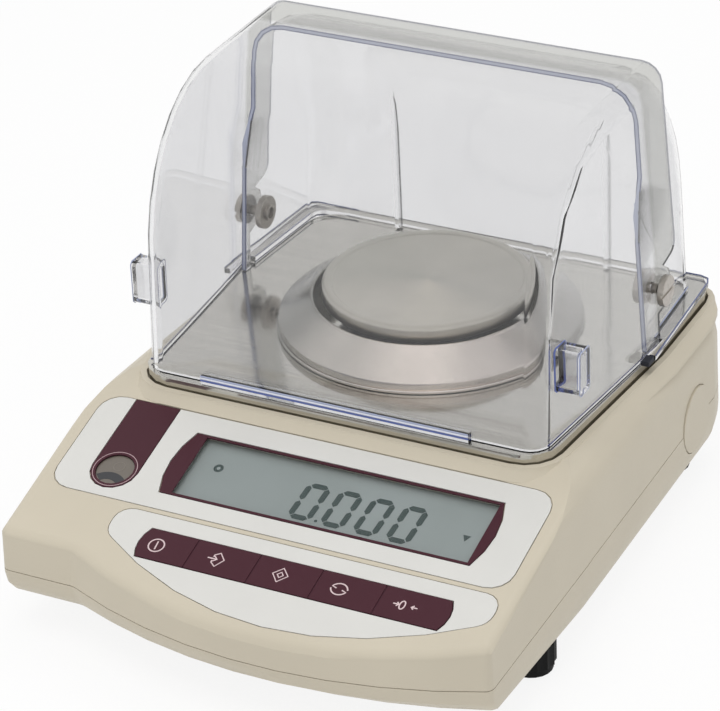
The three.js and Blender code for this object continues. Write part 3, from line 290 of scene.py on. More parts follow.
def moulded(name, colour, roughness, grain=0.7, depth=0.02):
    """Injection-moulded plastic: a fine spark-eroded grain and a faint unevenness of colour."""
    made = Finish(name, colour, roughness)
    made.tint(made.noise(size=38, detail=2), shaded(colour, factor=0.955))
    fine = made.noise(size=grain, detail=4)
    made.gloss(fine, low=roughness - 0.06, high=roughness + 0.08)
    made.relief(fine, depth, strength=0.5)
    return made


def print_and_painted_light(name, colour, roughness):
    """Polyester film printed from behind: smooth, with a slight matt tooth and faint clouding of the ink. The
    same finish carries painted light and shade: lines of light along the covers' edges, dark maroon between
    the keys and the dark arch in the level.
    """
    made = Finish(name, colour, roughness)
    made.tint(made.noise(size=22, detail=3), shaded(colour, factor=0.965))
    tooth = made.noise(size=0.35, detail=3)
    made.gloss(tooth, low=roughness - 0.04, high=roughness + 0.06)
    made.relief(tooth, depth=0.006, strength=0.35)
    return made


def brushed(name, colour, roughness, stretch, pitch=0.25):
    """Sheet steel brushed one way."""
    made = Finish(name, colour, roughness, metallic=1.0)
    lines = made.noise(pitch, stretch, detail=4)
    made.tint(lines, shaded(colour, factor=0.86))
    made.gloss(lines, low=roughness - 0.05, high=roughness + 0.08)
    made.relief(lines, depth=0.004, strength=0.4)
    return made


def spun(name, colour, roughness, centre, pitch):
    """Steel finished on a lathe, with fine rings and a cloudy sheen."""
    made = Finish(name, colour, roughness, metallic=1.0)
    rings = made.turned(centre, pitch)
    made.tint(made.noise(size=16, detail=3), shaded(colour, factor=0.9))
    made.gloss(rings, low=roughness - 0.015, high=roughness + 0.02)
    made.relief(rings, depth=0.0003, strength=0.15)
    return made


def steel_with_painted_highlight(name, roughness, centre, painted_highlight):
    """Turned satin steel with a painted highlight that goes round the axis: its colour is painted brighter
    where the lathe marks would face the light.
    """
    made = spun(name, painted_highlight[0][1], roughness, centre, pitch=0.5)
    # Painted highlight: the base colour is set by the angle round the axis
    angle = made.node("ShaderNodeTexGradient", gradient_type="RADIAL")
    made.link(made.place(centre=centre), angle.inputs["Vector"])
    ramp = made.node("ShaderNodeValToRGB")
    ramp.color_ramp.interpolation = "EASE"
    stops = ramp.color_ramp.elements
    while len(stops) < len(painted_highlight):
        stops.new(1.0)
    for stop, (degrees, colour) in zip(stops, painted_highlight):
        stop.position = (degrees + 180) / 360
        stop.color = colour
    made.link(angle.outputs["Fac"], ramp.inputs["Fac"])
    clouds = made.span(made.noise(size=14, detail=3), low=0, high=0.16)
    cloudy = made.blend(clouds, ramp.outputs["Color"], tone(140, 138, 134))
    made.link(cloudy, made.shader.inputs["Base Color"])
    return made


def cast_metal(name, colour, roughness):
    """Die-cast metal: pebbled skin with darker hollows."""
    made = Finish(name, colour, roughness, metallic=0.9)
    skin = made.noise(size=0.9, detail=5)
    made.tint(skin, shaded(colour, factor=0.75))
    made.gloss(skin, low=roughness - 0.08, high=roughness + 0.1)
    made.relief(skin, depth=0.05, strength=0.5)
    return made


def glazed(name, colour):
    """A printed or moulded face under a clear gloss; the level's painted shade is made with it too."""
    made = print_and_painted_light(name, colour, roughness=0.4)
    made.set("Coat Weight", 0.6)
    made.set("Coat Roughness", 0.1)
    return made


def clear_sheet(name, colour, roughness, haze, bending=1.49):
    """Clear acrylic that lets the lamps through, with faint wiping marks on its surface."""
    made = Finish(name, colour, roughness)
    made.set("IOR", bending)
    made.set("Transmission Weight", 1.0)
    wiped = made.noise(size=9, stretch=(1, 1, 0.3), detail=4)
    made.gloss(wiped, low=roughness, high=roughness + haze)
    open_way = made.node("ShaderNodeBsdfTransparent")
    open_way.inputs["Color"].default_value = colour
    made.replaced(any_ray(made.tree, LIGHT_RAYS), open_way.outputs["BSDF"])
    return made


def shade_painted_behind(sheet, start_y, colour):
    """Painted shade: a greyer colour from one place rearwards, where the lid lies over the hood and the two
    sheets look greyer.
    """
    half_step = 0.4
    split = sheet.node("ShaderNodeSeparateXYZ")
    sheet.link(sheet.place(), split.inputs["Vector"])
    share = sheet.span(split.outputs["Y"], 0, 1, (start_y - half_step) * MM, (start_y + half_step) * MM)
    sheet.link(sheet.blend(share, sheet.colour, colour), sheet.shader.inputs["Base Color"])


def circuit_board():
    """Green solder mask with copper tracks under it."""
    mask, darker_mask, track = tone(38, 92, 58), tone(33, 84, 52), tone(70, 128, 78)
    made = Finish("circuit_board", mask, roughness=0.35)
    bricks = made.node("ShaderNodeTexBrick")
    made.link(made.place(), bricks.inputs["Vector"])
    bricks.inputs["Scale"].default_value = 180
    bricks.inputs["Mortar Size"].default_value = 0.03
    for socket, colour in (("Color1", mask), ("Color2", darker_mask), ("Mortar", track)):
        bricks.inputs[socket].default_value = colour
    made.link(bricks.outputs["Color"], made.shader.inputs["Base Color"])
    made.relief(bricks.outputs["Fac"], depth=0.03, strength=0.4)
    return made


def striped_cable():
    """Flat ribbon cable: one groove for each core."""
    made = Finish("ribbon_cable", tone(140, 142, 145), roughness=0.5)
    waves = made.node("ShaderNodeTexWave", wave_type="BANDS", bands_direction="X")
    waves.inputs["Scale"].default_value = 250
    made.link(made.place(), waves.inputs["Vector"])
    made.tint(waves.outputs["Fac"], tone(104, 106, 110))
    made.relief(waves.outputs["Fac"], depth=0.2, strength=0.6)
    return made


def display_ground():
    """The display's grey-green reflecting ground, a little cloudy."""
    made = Finish("display_ground", tone(165, 172, 174), roughness=0.6)
    made.tint(made.noise(size=30, detail=2), tone(159, 166, 167))
    made.set("Specular IOR Level", 0.2)
    return made


# The painted highlight of the turned steel: degrees round the pan, with the colour painted there. The keys
# are at -90 degrees.
RING_PAINTED_HIGHLIGHT = [
    (-180, tone(158, 157, 152)), (-140, tone(152, 151, 147)), (-105, tone(206, 201, 194)),
    (-66, tone(253, 242, 233)), (-35, tone(216, 208, 202)), (0, tone(168, 166, 162)),
    (60, tone(182, 180, 176)), (120, tone(172, 171, 167)), (180, tone(158, 157, 152)),
]
PAN_PAINTED_HIGHLIGHT = [
    (-180, tone(188, 186, 178)), (-110, tone(201, 197, 188)), (-62, tone(208, 203, 192)),
    (0, tone(188, 185, 178)), (90, tone(194, 191, 183)), (180, tone(188, 186, 178)),
]
PAN_CENTRE = (0, PAN_Y, 0)
EVERY_WAY = (1, 1, 1)

case_plastic = moulded("case_plastic", tone(210, 201, 182), roughness=0.46)
foot_plastic = moulded("foot_plastic", tone(3, 3, 3), roughness=0.6, grain=0.5)
dark_plastic = moulded("dark_plastic", tone(38, 38, 41), roughness=0.5, grain=0.5)
pad_rubber = moulded("pad_rubber", tone(42, 44, 52), roughness=0.75, grain=0.3, depth=0.04)
white_film = print_and_painted_light("white_film", tone(223, 222, 218), roughness=0.34)
maroon_film = print_and_painted_light("maroon_film", tone(71, 35, 45), roughness=0.42)
# Painted shade: a darker copy of the maroon film for the backing and webs in the gaps between the keys
maroon_painted_shade = print_and_painted_light("maroon_painted_shade", tone(63, 30, 40), roughness=0.5)
pink_print = print_and_painted_light("pink_print", tone(196, 168, 172), roughness=0.45)
icon_print = print_and_painted_light("icon_print", tone(222, 200, 202), roughness=0.5)
for matt in (maroon_film, maroon_painted_shade, foot_plastic):
    matt.set("Specular IOR Level", 0.2)
lcd_ground = display_ground()
lcd_ink = print_and_painted_light("lcd_ink", tone(74, 86, 86), roughness=0.55)
plate_steel = brushed("plate_steel", tone(202, 200, 194), roughness=0.1, stretch=(0.02, 1, 1), pitch=0.6)
# The ring and the pan carry a painted highlight that goes round their axis
ring_steel = steel_with_painted_highlight("ring_steel", 0.24, PAN_CENTRE, RING_PAINTED_HIGHLIGHT)
pan_steel = steel_with_painted_highlight("pan_steel", 0.3, PAN_CENTRE, PAN_PAINTED_HIGHLIGHT)
screw_steel = spun("screw_steel", tone(168, 166, 160), roughness=0.3, centre=(0, 0, 0), pitch=0.6)
pivot_steel = brushed("pivot_steel", tone(186, 180, 173), roughness=0.34, stretch=EVERY_WAY, pitch=1.2)
cast_aluminium = cast_metal("cast_aluminium", tone(168, 170, 172), roughness=0.5)
spring_brass = brushed("spring_brass", tone(196, 170, 110), roughness=0.3, stretch=(1, 0.05, 1))
socket_metal = brushed("socket_metal", tone(180, 180, 178), roughness=0.28, stretch=(0.1, 1, 1))
gold_pins = brushed("gold_pins", tone(212, 176, 96), roughness=0.25, stretch=EVERY_WAY, pitch=0.5)
board_green = circuit_board()
ribbon_grey = striped_cable()
clear_acrylic = clear_sheet("clear_acrylic", tone(238, 238, 239), roughness=0.015, haze=0.03)
lid_acrylic = clear_sheet("lid_acrylic", tone(238, 238, 239), roughness=0.015, haze=0.03)
# Painted shade on the lid where it lies over the hood
shade_painted_behind(lid_acrylic, HOOD_STEP_Y, tone(204, 204, 201))
# Painted light on the lid's cut rear edge
rear_edge = print_and_painted_light("rear_edge", tone(226, 228, 236), roughness=0.3)
clear_window = clear_sheet("clear_window", tone(247, 248, 247), roughness=0.02, haze=0.02, bending=1.12)
level_liquid = clear_sheet("level_liquid", tone(200, 196, 182), roughness=0.05, haze=0.02)
# Colours of the painted lines of light along the covers' edges: pale for painted highlights, blue and navy
# for the coloured light in the acrylic's edges
edge_light = print_and_painted_light("edge_light", tone(190, 197, 222), roughness=0.3)
edge_navy = print_and_painted_light("edge_navy", tone(88, 98, 142), roughness=0.3)
edge_blue = print_and_painted_light("edge_blue", tone(92, 108, 176), roughness=0.3)
edge_pale = print_and_painted_light("edge_pale", tone(176, 184, 212), roughness=0.3)
foot_navy = print_and_painted_light("foot_navy", tone(62, 66, 116), roughness=0.3)
bright_edge = print_and_painted_light("bright_edge", tone(232, 235, 246), roughness=0.25)
# Painted shade: the dark arch in the level's window
level_dark = glazed("level_dark", tone(8, 10, 20))
level_floor = glazed("level_floor", tone(104, 96, 87))
level_bubble = glazed("level_bubble", tone(116, 108, 99))


# Making pieces


def only(piece):
    """Selects one piece and nothing else."""
    bpy.ops.object.select_all(action="DESELECT")
    piece.select_set(True)
    bpy.context.view_layer.objects.active = piece


def editing(piece):
    only(piece)
    bpy.ops.object.mode_set(mode="EDIT")
    bpy.ops.mesh.select_all(action="SELECT")


def done():
    bpy.ops.object.mode_set(mode="OBJECT")


def smoothed(piece, degrees):
    """Smooth shading, with edges sharper than the angle kept."""
    only(piece)
    bpy.ops.object.shade_smooth_by_angle(angle=math.radians(degrees))
    return piece


def settle(piece, name, finish, body, frame_of=None):
    """Puts a finished piece in the object's frame with its place in its mesh, and hands it to its body."""
    piece.name = name
    piece.data.name = name
    if frame_of is not None:
        piece.matrix_world = frame_of @ piece.matrix_world
    only(piece)
    bpy.ops.object.transform_apply(location=True, rotation=True, scale=True)
    if not piece.data.materials:
        piece.data.materials.append(finish.material)
    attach(piece, body)
    return piece


def round_edges(piece, width):
    """Rounds the sharp edges by a modifier that is then applied."""
    bevel = piece.modifiers.new("rounded", "BEVEL")
    bevel.width = width * MM
    bevel.segments = 2
    bevel.limit_method = "ANGLE"
    bevel.angle_limit = math.radians(35)
    bevel.use_clamp_overlap = True
    only(piece)
    bpy.ops.object.modifier_apply(modifier=bevel.name)


def even_flats(piece):
    """Lets the large flat faces set the shading at their corners, so that walls and plates look flat."""
    weighting = piece.modifiers.new("even_flats", "WEIGHTED_NORMAL")
    weighting.mode = "FACE_AREA"
    weighting.weight = 100
    weighting.keep_sharp = True
    only(piece)
    bpy.ops.object.modifier_apply(modifier=weighting.name)


def finished(node, finish, body, slot, rounding=0.0, sharp=30, flats_merged=True):
    """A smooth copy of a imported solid, welded and with rounded edges, shown in the solid's place."""
    mesh = nodes[node].data.copy()
    mesh.materials.clear()
    piece = bpy.data.objects.new(f"{node}_finished", mesh)
    bpy.context.scene.collection.objects.link(piece)
    mesh.materials.append(finish.material)
    editing(piece)
    bpy.ops.mesh.customdata_custom_splitnormals_clear()
    bpy.ops.mesh.remove_doubles(threshold=WELD * MM)
    if flats_merged:
        bpy.ops.mesh.dissolve_limited(angle_limit=math.radians(FLAT_DEGREES))
    done()
    if rounding:
        round_edges(piece, rounding)
    smoothed(piece, sharp)
    even_flats(piece)
    settle(piece, f"{node}_finished", finish, body)
    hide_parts(node)
    return piece


def dressed(node, finish):
    """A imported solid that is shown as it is, in a better finish."""
    nodes[node].data.materials.clear()
    nodes[node].data.materials.append(finish.material)


def turned(name, rings, centre, finish, body, sharp):
    """A piece turned about an upright axis, drawn ring by ring from pairs of a radius and a height."""
    first, last = rings[0], rings[-1]
    place = Vector((centre[0], centre[1], first[1])) * MM
    bpy.ops.object.select_all(action="DESELECT")
    bpy.ops.mesh.primitive_circle_add(
        vertices=TURNED_SIDES, radius=first[0] * MM, fill_type="NOTHING", location=place,
    )
    piece = bpy.context.object
    editing(piece)
    for (before, low), (radius, height) in zip(rings, rings[1:]):
        bpy.ops.mesh.extrude_region_move(TRANSFORM_OT_translate={"value": (0, 0, (height - low) * MM)})
        share = radius / before
        bpy.ops.transform.resize(value=(share, share, 1), center_override=place)
    bpy.ops.mesh.select_all(action="SELECT")
    if first == last:
        bpy.ops.mesh.remove_doubles(threshold=WELD / 2 * MM)
    else:
        bpy.ops.mesh.fill_holes(sides=0)
    bpy.ops.mesh.select_all(action="SELECT")
    bpy.ops.mesh.normals_make_consistent(inside=False)
    done()
    smoothed(piece, sharp)
    return settle(piece, name, finish, body)


def arc(centre_radius, centre_height, radius, start, end, steps):
    """Points of an arc in a turned piece's side view, with angles in degrees."""
    angles = [math.radians(start + (end - start) * k / steps) for k in range(steps + 1)]
    return [(centre_radius + radius * math.cos(a), centre_height + radius * math.sin(a)) for a in angles]


def flat(name, outline, low, high, finish, body, slot):
    """A flat piece with any outline, between two heights over the panel."""
    bpy.ops.object.select_all(action="DESELECT")
    bpy.ops.mesh.primitive_circle_add(vertices=len(outline), fill_type="NGON")
    piece = bpy.context.object
    for vertex, (x, y) in zip(piece.data.vertices, outline):
        vertex.co = (x * MM, y * MM, low * MM)
    editing(piece)
    bpy.ops.mesh.extrude_region_move(TRANSFORM_OT_translate={"value": (0, 0, (high - low) * MM)})
    bpy.ops.mesh.select_all(action="SELECT")
    bpy.ops.mesh.normals_make_consistent(inside=False)
    done()
    return settle(piece, name, finish, body, PANEL)


def tube(name, lines, radius, roundness):
    """A round line of that radius along each list of places, made a mesh. Each list says if it closes."""
    drawing = bpy.data.curves.new(name, "CURVE")
    drawing.dimensions = "3D"
    drawing.bevel_depth = radius * MM
    drawing.bevel_resolution = roundness
    drawing.use_fill_caps = True
    for places, loops in lines:
        spline = drawing.splines.new("POLY")
        spline.points.add(len(places) - 1)
        for dot, place in zip(spline.points, places):
            dot.co = (*(Vector(place) * MM), 1)
        spline.use_cyclic_u = loops
    piece = bpy.data.objects.new(name, drawing)
    bpy.context.scene.collection.objects.link(piece)
    only(piece)
    bpy.ops.object.convert(target="MESH")
    return bpy.context.object


def strokes(name, lines, width, height, finish, body, slot):
    """Printed lines: each is a list of points on the panel and whether it closes on itself."""
    print_share = 0.12
    on_panel = [([(x, y, 0) for x, y in points], loops) for points, loops in lines]
    piece = tube(name, on_panel, width / 2, roundness=2)
    piece.scale = (1, 1, print_share)
    piece.location = (0, 0, height * MM)
    bpy.ops.object.transform_apply(location=True, rotation=True, scale=True)
    return settle(smoothed(piece, 50), name, finish, body, PANEL)


def wire(name, points, radius, finish, body, closed=False):
    """A thin round line in space, such as a pin, or a painted line of light along an edge of a clear cover.
    """
    piece = tube(name, [(points, closed)], radius, roundness=1)
    return settle(smoothed(piece, 50), name, finish, body)


def joined(name, pieces):
    """Several pieces of one finish made into one mesh."""
    bpy.ops.object.select_all(action="DESELECT")
    for piece in pieces:
        piece.select_set(True)
    bpy.context.view_layer.objects.active = pieces[0]
    bpy.ops.object.join()
    pieces[0].name = name
    pieces[0].data.name = name


def ring_points(x, y, radius, steps=48, start=0, end=360):
    """Points of a circle, or of an arc between two angles in degrees."""
    count = steps if end - start == 360 else steps + 1
    angles = [math.radians(start + (end - start) * k / steps) for k in range(count)]
    return [(x + radius * math.cos(a), y + radius * math.sin(a)) for a in angles]


# Camera, set so that the object falls where the photograph has it

AZIMUTH, ELEVATION, ROLL = (math.radians(a) for a in (28.192, 29.282, -2.535))
AIM = Vector((0, -24.4, 40.78))
STAND_OFF = 1181.8
ASIDE, ABOVE = 6.09, 35.3
FRAME_WIDTH = 720
FOCAL_PIXELS = 3445.2
CENTRE_RIGHT, CENTRE_DOWN = -0.37, 17.68
SENSOR_WIDTH = 36
CLIP_START, CLIP_END = 50, 20000

back = Vector((
    math.sin(AZIMUTH) * math.cos(ELEVATION), -math.cos(AZIMUTH) * math.cos(ELEVATION), math.sin(ELEVATION),
))
sideways = Vector((math.cos(AZIMUTH), math.sin(AZIMUTH), 0))
upright = back.cross(sideways)
right = sideways * math.cos(ROLL) + upright * math.sin(ROLL)
up = upright * math.cos(ROLL) - sideways * math.sin(ROLL)
eye = (AIM + back * STAND_OFF + right * ASIDE + up * ABOVE) * MM
bpy.ops.object.camera_add()
camera = bpy.context.object
camera.name = "camera"
turn = Matrix((right, up, back)).transposed().to_4x4()
camera.matrix_world = Matrix.Translation(eye) @ turn
camera.data.sensor_width = SENSOR_WIDTH
camera.data.lens = FOCAL_PIXELS / FRAME_WIDTH * SENSOR_WIDTH
camera.data.shift_x = -CENTRE_RIGHT / FRAME_WIDTH
camera.data.shift_y = CENTRE_DOWN / FRAME_WIDTH
camera.data.clip_start = CLIP_START * MM
camera.data.clip_end = CLIP_END * MM
bpy.context.scene.camera = camera

# Case

for node in ["upper_case", "lower_case", "side_cap_left", "side_cap_right"]:
    finished(node, case_plastic, "case", "case_plastic", CASE_ROUNDING)
for end in ("front", "rear"):
    for side in ("left", "right"):
        finished(f"foot_{end}_{side}", foot_plastic, f"{end}_{side}_foot", "foot_plastic", CASE_ROUNDING)

# Display

finished("display_overlay", white_film, "case", "panel_film", FILM_ROUNDING)
finished("display_bezel", maroon_film, "case", "maroon_film", FILM_ROUNDING)
finished("level_strip", maroon_film, "case", "maroon_film", FILM_ROUNDING)
finished("key_overlay", white_film, "case", "panel_film", FILM_ROUNDING)
finished("display_lens", clear_window, "case", "clear_plastic")
dressed("lcd_module", lcd_ground)
dressed("display_board", board_green)
dressed("key_board", board_green)


def stroke_outline(x0, y0, x1, y1):
    """A segment of a digit: a bar with pointed ends, between two corners of the digit."""
    along = Vector((x1 - x0, y1 - y0)).normalized()
    across = Vector((-along.y, along.x))
    start = Vector((x0, y0)) + along * STROKE_GAP
    end = Vector((x1, y1)) - along * STROKE_GAP
    half = STROKE / 2
    points = [
        start, start + along * half - across * half, end - along * half - across * half,
        end, end - along * half + across * half, start + along * half + across * half,
    ]
    return [(p.x, p.y) for p in points]


# The six strokes of a nought, between corners counted by row and column
NOUGHT = [
    ((0, 0), (0, 1)), ((0, 1), (1, 1)), ((1, 1), (2, 1)),
    ((2, 1), (2, 0)), ((2, 0), (1, 0)), ((1, 0), (0, 0)),
]
ink = []
for digit in range(DIGITS):
    left = DIGIT_LEFT + DIGIT_PITCH * digit
    top, middle, bottom = (-DIGIT_TOP - DIGIT_HEIGHT * share for share in (0, 0.5, 1))
    corner = {}
    for row, y in enumerate((top, middle, bottom)):
        for column, x in enumerate((left, left + DIGIT_WIDTH)):
            corner[row, column] = (x + (y - top) * DIGIT_SLANT, y)
    for first, second in NOUGHT:
        ink.append(("segment", stroke_outline(*corner[first], *corner[second])))
ink.append(("point", ring_points(POINT_X, -POINT_DOWN, POINT_RADIUS, 12)))
ink.append(("unit_mark", UNIT_MARK))
joined("display_digits", [
    flat(name, outline, INK_LOW, INK_HIGH, lcd_ink, "case", "lcd_glass") for name, outline in ink
])
steady_ring = ring_points(STEADY_X, -STEADY_DOWN, STEADY_RADIUS, 24)
strokes("display_steady_mark", [(steady_ring, True)], STEADY_LINE, STEADY_TOP, lcd_ink, "case", "lcd_glass")

# Bubble level


def arch(radius):
    """The part of an arc in the lower half of the level that lies inside its window, from left to right."""
    points = ring_points(LEVEL_X, -ARCH_DOWN, radius, 60, 170, 10)
    return [p for p in points if math.dist(p, (LEVEL_X, -LEVEL_DOWN)) < LEVEL_RADIUS]


line_ring = ring_points(LEVEL_X, -LEVEL_DOWN, RING_LINE_RADIUS, 64)
strokes("level_ring_line", [(line_ring, True)], RING_LINE, FILM_TOP, pink_print, "case", "maroon_film")
dressed("level_cup", dark_plastic)
finished("level_vial", level_liquid, "case", "clear_plastic", LEVEL_ROUNDING)
on_level = dict(body="case", slot="clear_plastic")
flat(
    "level_face", ring_points(LEVEL_X, -LEVEL_DOWN, LEVEL_RADIUS), LEVEL_FACE_LOW, LEVEL_FACE_TOP,
    level_floor, **on_level,
)
# Painted shade: a dark arch in the lower part of the level's window
shade_outline = arch(ARCH_OUTER) + arch(ARCH_INNER)[::-1]
flat("level_shade", shade_outline, LEVEL_FACE_TOP, ARCH_TOP, level_dark, **on_level)
bubble_ring = ring_points(LEVEL_X + BUBBLE_RIGHT, -LEVEL_DOWN + BUBBLE_UP, BUBBLE_RADIUS, 32)
strokes("level_bubble", [(bubble_ring, True)], BUBBLE_LINE, BUBBLE_TOP, level_bubble, **on_level)

# Keys and the pictures on them

KEY_NAMES = ["on_off", "memory", "set", "function", "zero"]
for key in KEY_NAMES:
    finished(f"key_{key}", maroon_film, f"{key}_key", "maroon_film", KEY_ROUNDING)
# The backing and the webs between the keys are painted darker, as shade
flat("key_backing", KEY_BACK_OUTLINE, KEY_BACK_LOW, KEY_BACK_TOP, maroon_painted_shade, "case", "maroon_film")
for count, seam in enumerate(KEY_SEAMS, 1):
    web = [
        (seam - SEAM_HALF, SEAM_LOWER), (seam + SEAM_HALF, SEAM_LOWER),
        (seam + SEAM_HALF, SEAM_UPPER), (seam - SEAM_HALF, SEAM_UPPER),
    ]
    flat(f"key_web_{count}", web, KEY_BACK_TOP, SEAM_TOP, maroon_painted_shade, "case", "maroon_film")

# Each picture is a list of lines, with points on the panel and whether the line closes
NOUGHT_X, NOUGHT_Y, NOUGHT_HALF_WIDTH, NOUGHT_HALF_HEIGHT = 56.4, -59.9, 0.9, 1.75
nought_ring = [
    (NOUGHT_X + NOUGHT_HALF_WIDTH * math.cos(a), NOUGHT_Y + NOUGHT_HALF_HEIGHT * math.sin(a))
    for a in (math.radians(15 * k) for k in range(24))
]
ICONS = {
    "on_off": [
        (ring_points(-34.6, -60.1, 2.75), True),
        ([(-34.75, -58.3), (-34.45, -61.9)], False),
    ],
    "memory": [
        ([
            (-13.3, -59.0), (-13.3, -58.2), (-11.6, -56.9), (-9.2, -59.5),
            (-11.3, -62.9), (-13.2, -61.4), (-13.2, -60.6),
        ], False),
        ([(-15.2, -59.8), (-11.7, -59.8)], False),
        ([(-13.0, -58.7), (-11.7, -59.8), (-13.0, -60.9)], False),
    ],
    "set": [
        ([(9.1, -59.8), (11.9, -56.8), (14.7, -59.7), (11.9, -62.9)], True),
        ([(10.8, -59.8), (11.9, -58.6), (13.0, -59.8), (11.9, -61.0)], True),
    ],
    "function": [
        (ring_points(33.5, -60.4, 3.1, 18, 15, 150), False),
        (ring_points(33.5, -59.0, 3.1, 18, 195, 330), False),
        ([(32.0, -57.6), (30.7, -58.9), (32.4, -59.5)], False),
        ([(35.0, -61.8), (36.3, -60.5), (34.6, -59.9)], False),
    ],
    "zero": [
        ([(53.2, -59.9), (55.2, -59.9)], False),
        ([(54.4, -59.1), (55.3, -59.9), (54.4, -60.7)], False),
        (nought_ring, True),
        ([(61.8, -59.9), (59.7, -59.9)], False),
        ([(60.5, -59.1), (59.6, -59.9), (60.5, -60.7)], False),
    ],
}
for key in KEY_NAMES:
    strokes(f"icon_{key}", ICONS[key], PRINT, KEY_TOP, icon_print, f"{key}_key", "maroon_film")

# Deck plate, draught ring and pan

finished("deck_plate", plate_steel, "case", "polished_steel", PLATE_ROUNDING)

ring_rings = [
    (RING_SEAT, RING_BASE), (RING_FOOT, RING_BASE),
    *arc(RING_FOOT - RING_BEAD, RING_BEAD_Z, RING_BEAD, 0, 90, 3),
    (RING_GROOVE, RING_GROOVE_LOW), (RING_GROOVE, RING_GROOVE_HIGH),
    (RING_WALL, RING_WALL_LOW), (RING_WALL, RING_WALL_HIGH),
    *arc(RING_SHOULDER, RING_SHOULDER_Z, RING_SHOULDER_ROUND, 10, 62, 4),
    (RING_CONE_END, RING_CONE_TOP),
    *arc(RING_LIP, RING_LIP_Z, RING_LIP_ROUND, 50, 180, 6),
    (RING_LIP - RING_LIP_ROUND, RING_THROAT_Z), (RING_INSIDE, RING_INSIDE_Z), (RING_SEAT, RING_BASE),
]
ring = turned("wind_ring_finished", ring_rings, PAN_CENTRE, ring_steel, "ring", sharp=35)
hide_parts("wind_ring")

pan_rings = [
    (PAN_MIDDLE, PAN_UNDER), (PAN_SKIRT_INSIDE - PAN_CHAMFER, PAN_UNDER),
    (PAN_SKIRT_INSIDE, PAN_UNDER - PAN_CHAMFER), (PAN_SKIRT_INSIDE, PAN_SKIRT_LOW),
    (PAN_RADIUS - PAN_CHAMFER, PAN_SKIRT_LOW), (PAN_RADIUS, PAN_SKIRT_LOW + PAN_CHAMFER),
    *arc(PAN_RADIUS - PAN_RIM_ROUND, PAN_TOP - PAN_RIM_ROUND, PAN_RIM_ROUND, 0, 90, 6),
    (PAN_RIM_INSIDE, PAN_TOP), *PAN_DISH_STEPS, (PAN_MIDDLE, PAN_FLOOR),
]
pan = turned("weighing_pan_finished", pan_rings, PAN_CENTRE, pan_steel, "pan", sharp=25)
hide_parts("weighing_pan")

# Load cell, boards, screws and springs inside

for node in ["pan_seat", "base_frame", "cell_body", "load_lever"]:
    dressed(node, cast_aluminium)
for node in ["load_shaft", "overload_stop"]:
    dressed(node, screw_steel)
for place in range(1, 5):
    dressed(f"frame_screw_{place}", screw_steel)
    dressed(f"case_screw_{place}", screw_steel)
for node in ["lever_flexure", "tuning_fork"]:
    dressed(node, spring_brass)
dressed("main_board", board_green)
dressed("display_ribbon", ribbon_grey)

# Rear plate and sockets

finished("rear_plate", dark_plastic, "case", "dark_plastic", REAR_ROUNDING)
finished("power_jack", dark_plastic, "case", "dark_plastic", JACK_ROUNDING)
finished("serial_socket", socket_metal, "case", "socket_metal", REAR_ROUNDING)
for row, count, rise in PIN_ROWS:
    for place in range(count):
        x = SERIAL_X + PIN_PITCH * (place - (count - 1) / 2)
        ends = [(x, y, SOCKET_Z + rise) for y in (PIN_BASE_Y, PIN_TIP_Y)]
        wire(f"serial_pin_{row}_{place + 1}", ends, PIN_RADIUS, gold_pins, "case")

# Windshield


def edge_faces(piece, picks, border, middle, width):
    """Paints light on a cover's cut edges, with a border of one finish and a middle of another. picks says
    which faces.
    """
    piece.data.materials.append(border.material)
    piece.data.materials.append(middle.material)
    picked = [face.index for face in piece.data.polygons if picks(face.center / MM, face.normal)]
    only(piece)
    for item in (*piece.data.vertices, *piece.data.edges, *piece.data.polygons):
        item.select = False
    for index in picked:
        piece.data.polygons[index].select = True
        piece.data.polygons[index].material_index = 1
    bpy.ops.object.mode_set(mode="EDIT")
    bpy.ops.mesh.select_mode(type="FACE")
    bpy.ops.mesh.inset(thickness=width * MM, depth=0)
    done()
    for face in piece.data.polygons:
        if face.select:
            face.material_index = 2
    even_flats(piece)


def hood_front(centre, normal):
    """The hood's cut front edge and its step face forwards."""
    return normal.y < -0.7 and HOOD_FRONT_Y - EDGE_REACH < centre.y < HOOD_STEP_Y + EDGE_REACH


def lid_rear(centre, normal):
    """The lid's cut rear edge faces rearwards."""
    return normal.y > 0.8 and centre.y > LID_REAR_Y - EDGE_REACH


def lid_half(y, z):
    """Half the lid's width at a place on its side."""
    along = (y - LID_FRONT_Y) / (LID_REAR_Y - LID_FRONT_Y)
    low = LID_FRONT_HALF + (LID_REAR_HALF - LID_FRONT_HALF) * along
    high = LID_FRONT_TOP_HALF + (LID_REAR_TOP_HALF - LID_FRONT_TOP_HALF) * along
    return low + (high - low) * (z - COVER_LOW) / (LID_TOP - COVER_LOW)


as_cover = dict(slot="clear_plastic", sharp=32, flats_merged=False)
hood = finished("windshield_hood", clear_acrylic, "case", **as_cover)
lid = finished("windshield_lid", lid_acrylic, "lid", **as_cover)
# Painted light on the cut edges: a navy border and a pale middle along the hood's front edge, a pale colour
# on the lid's rear edge
edge_faces(hood, hood_front, edge_navy, edge_light, HOOD_BORDER)
edge_faces(lid, lid_rear, rear_edge, rear_edge, LID_BORDER)

GRIP_CORNERS = [
    (GRIP_FRONT_Y + GRIP_CHAMFER, GRIP_LOW), (GRIP_REAR_Y - GRIP_CHAMFER, GRIP_LOW),
    (GRIP_REAR_Y, GRIP_LOW + GRIP_CHAMFER), (GRIP_REAR_Y, GRIP_HIGH - GRIP_CHAMFER),
    (GRIP_REAR_Y - GRIP_CHAMFER, GRIP_HIGH), (GRIP_FRONT_Y + GRIP_CHAMFER, GRIP_HIGH),
    (GRIP_FRONT_Y, GRIP_HIGH - GRIP_CHAMFER), (GRIP_FRONT_Y, GRIP_LOW + GRIP_CHAMFER),
]
foot_z = COVER_LOW + FOOT_RISE
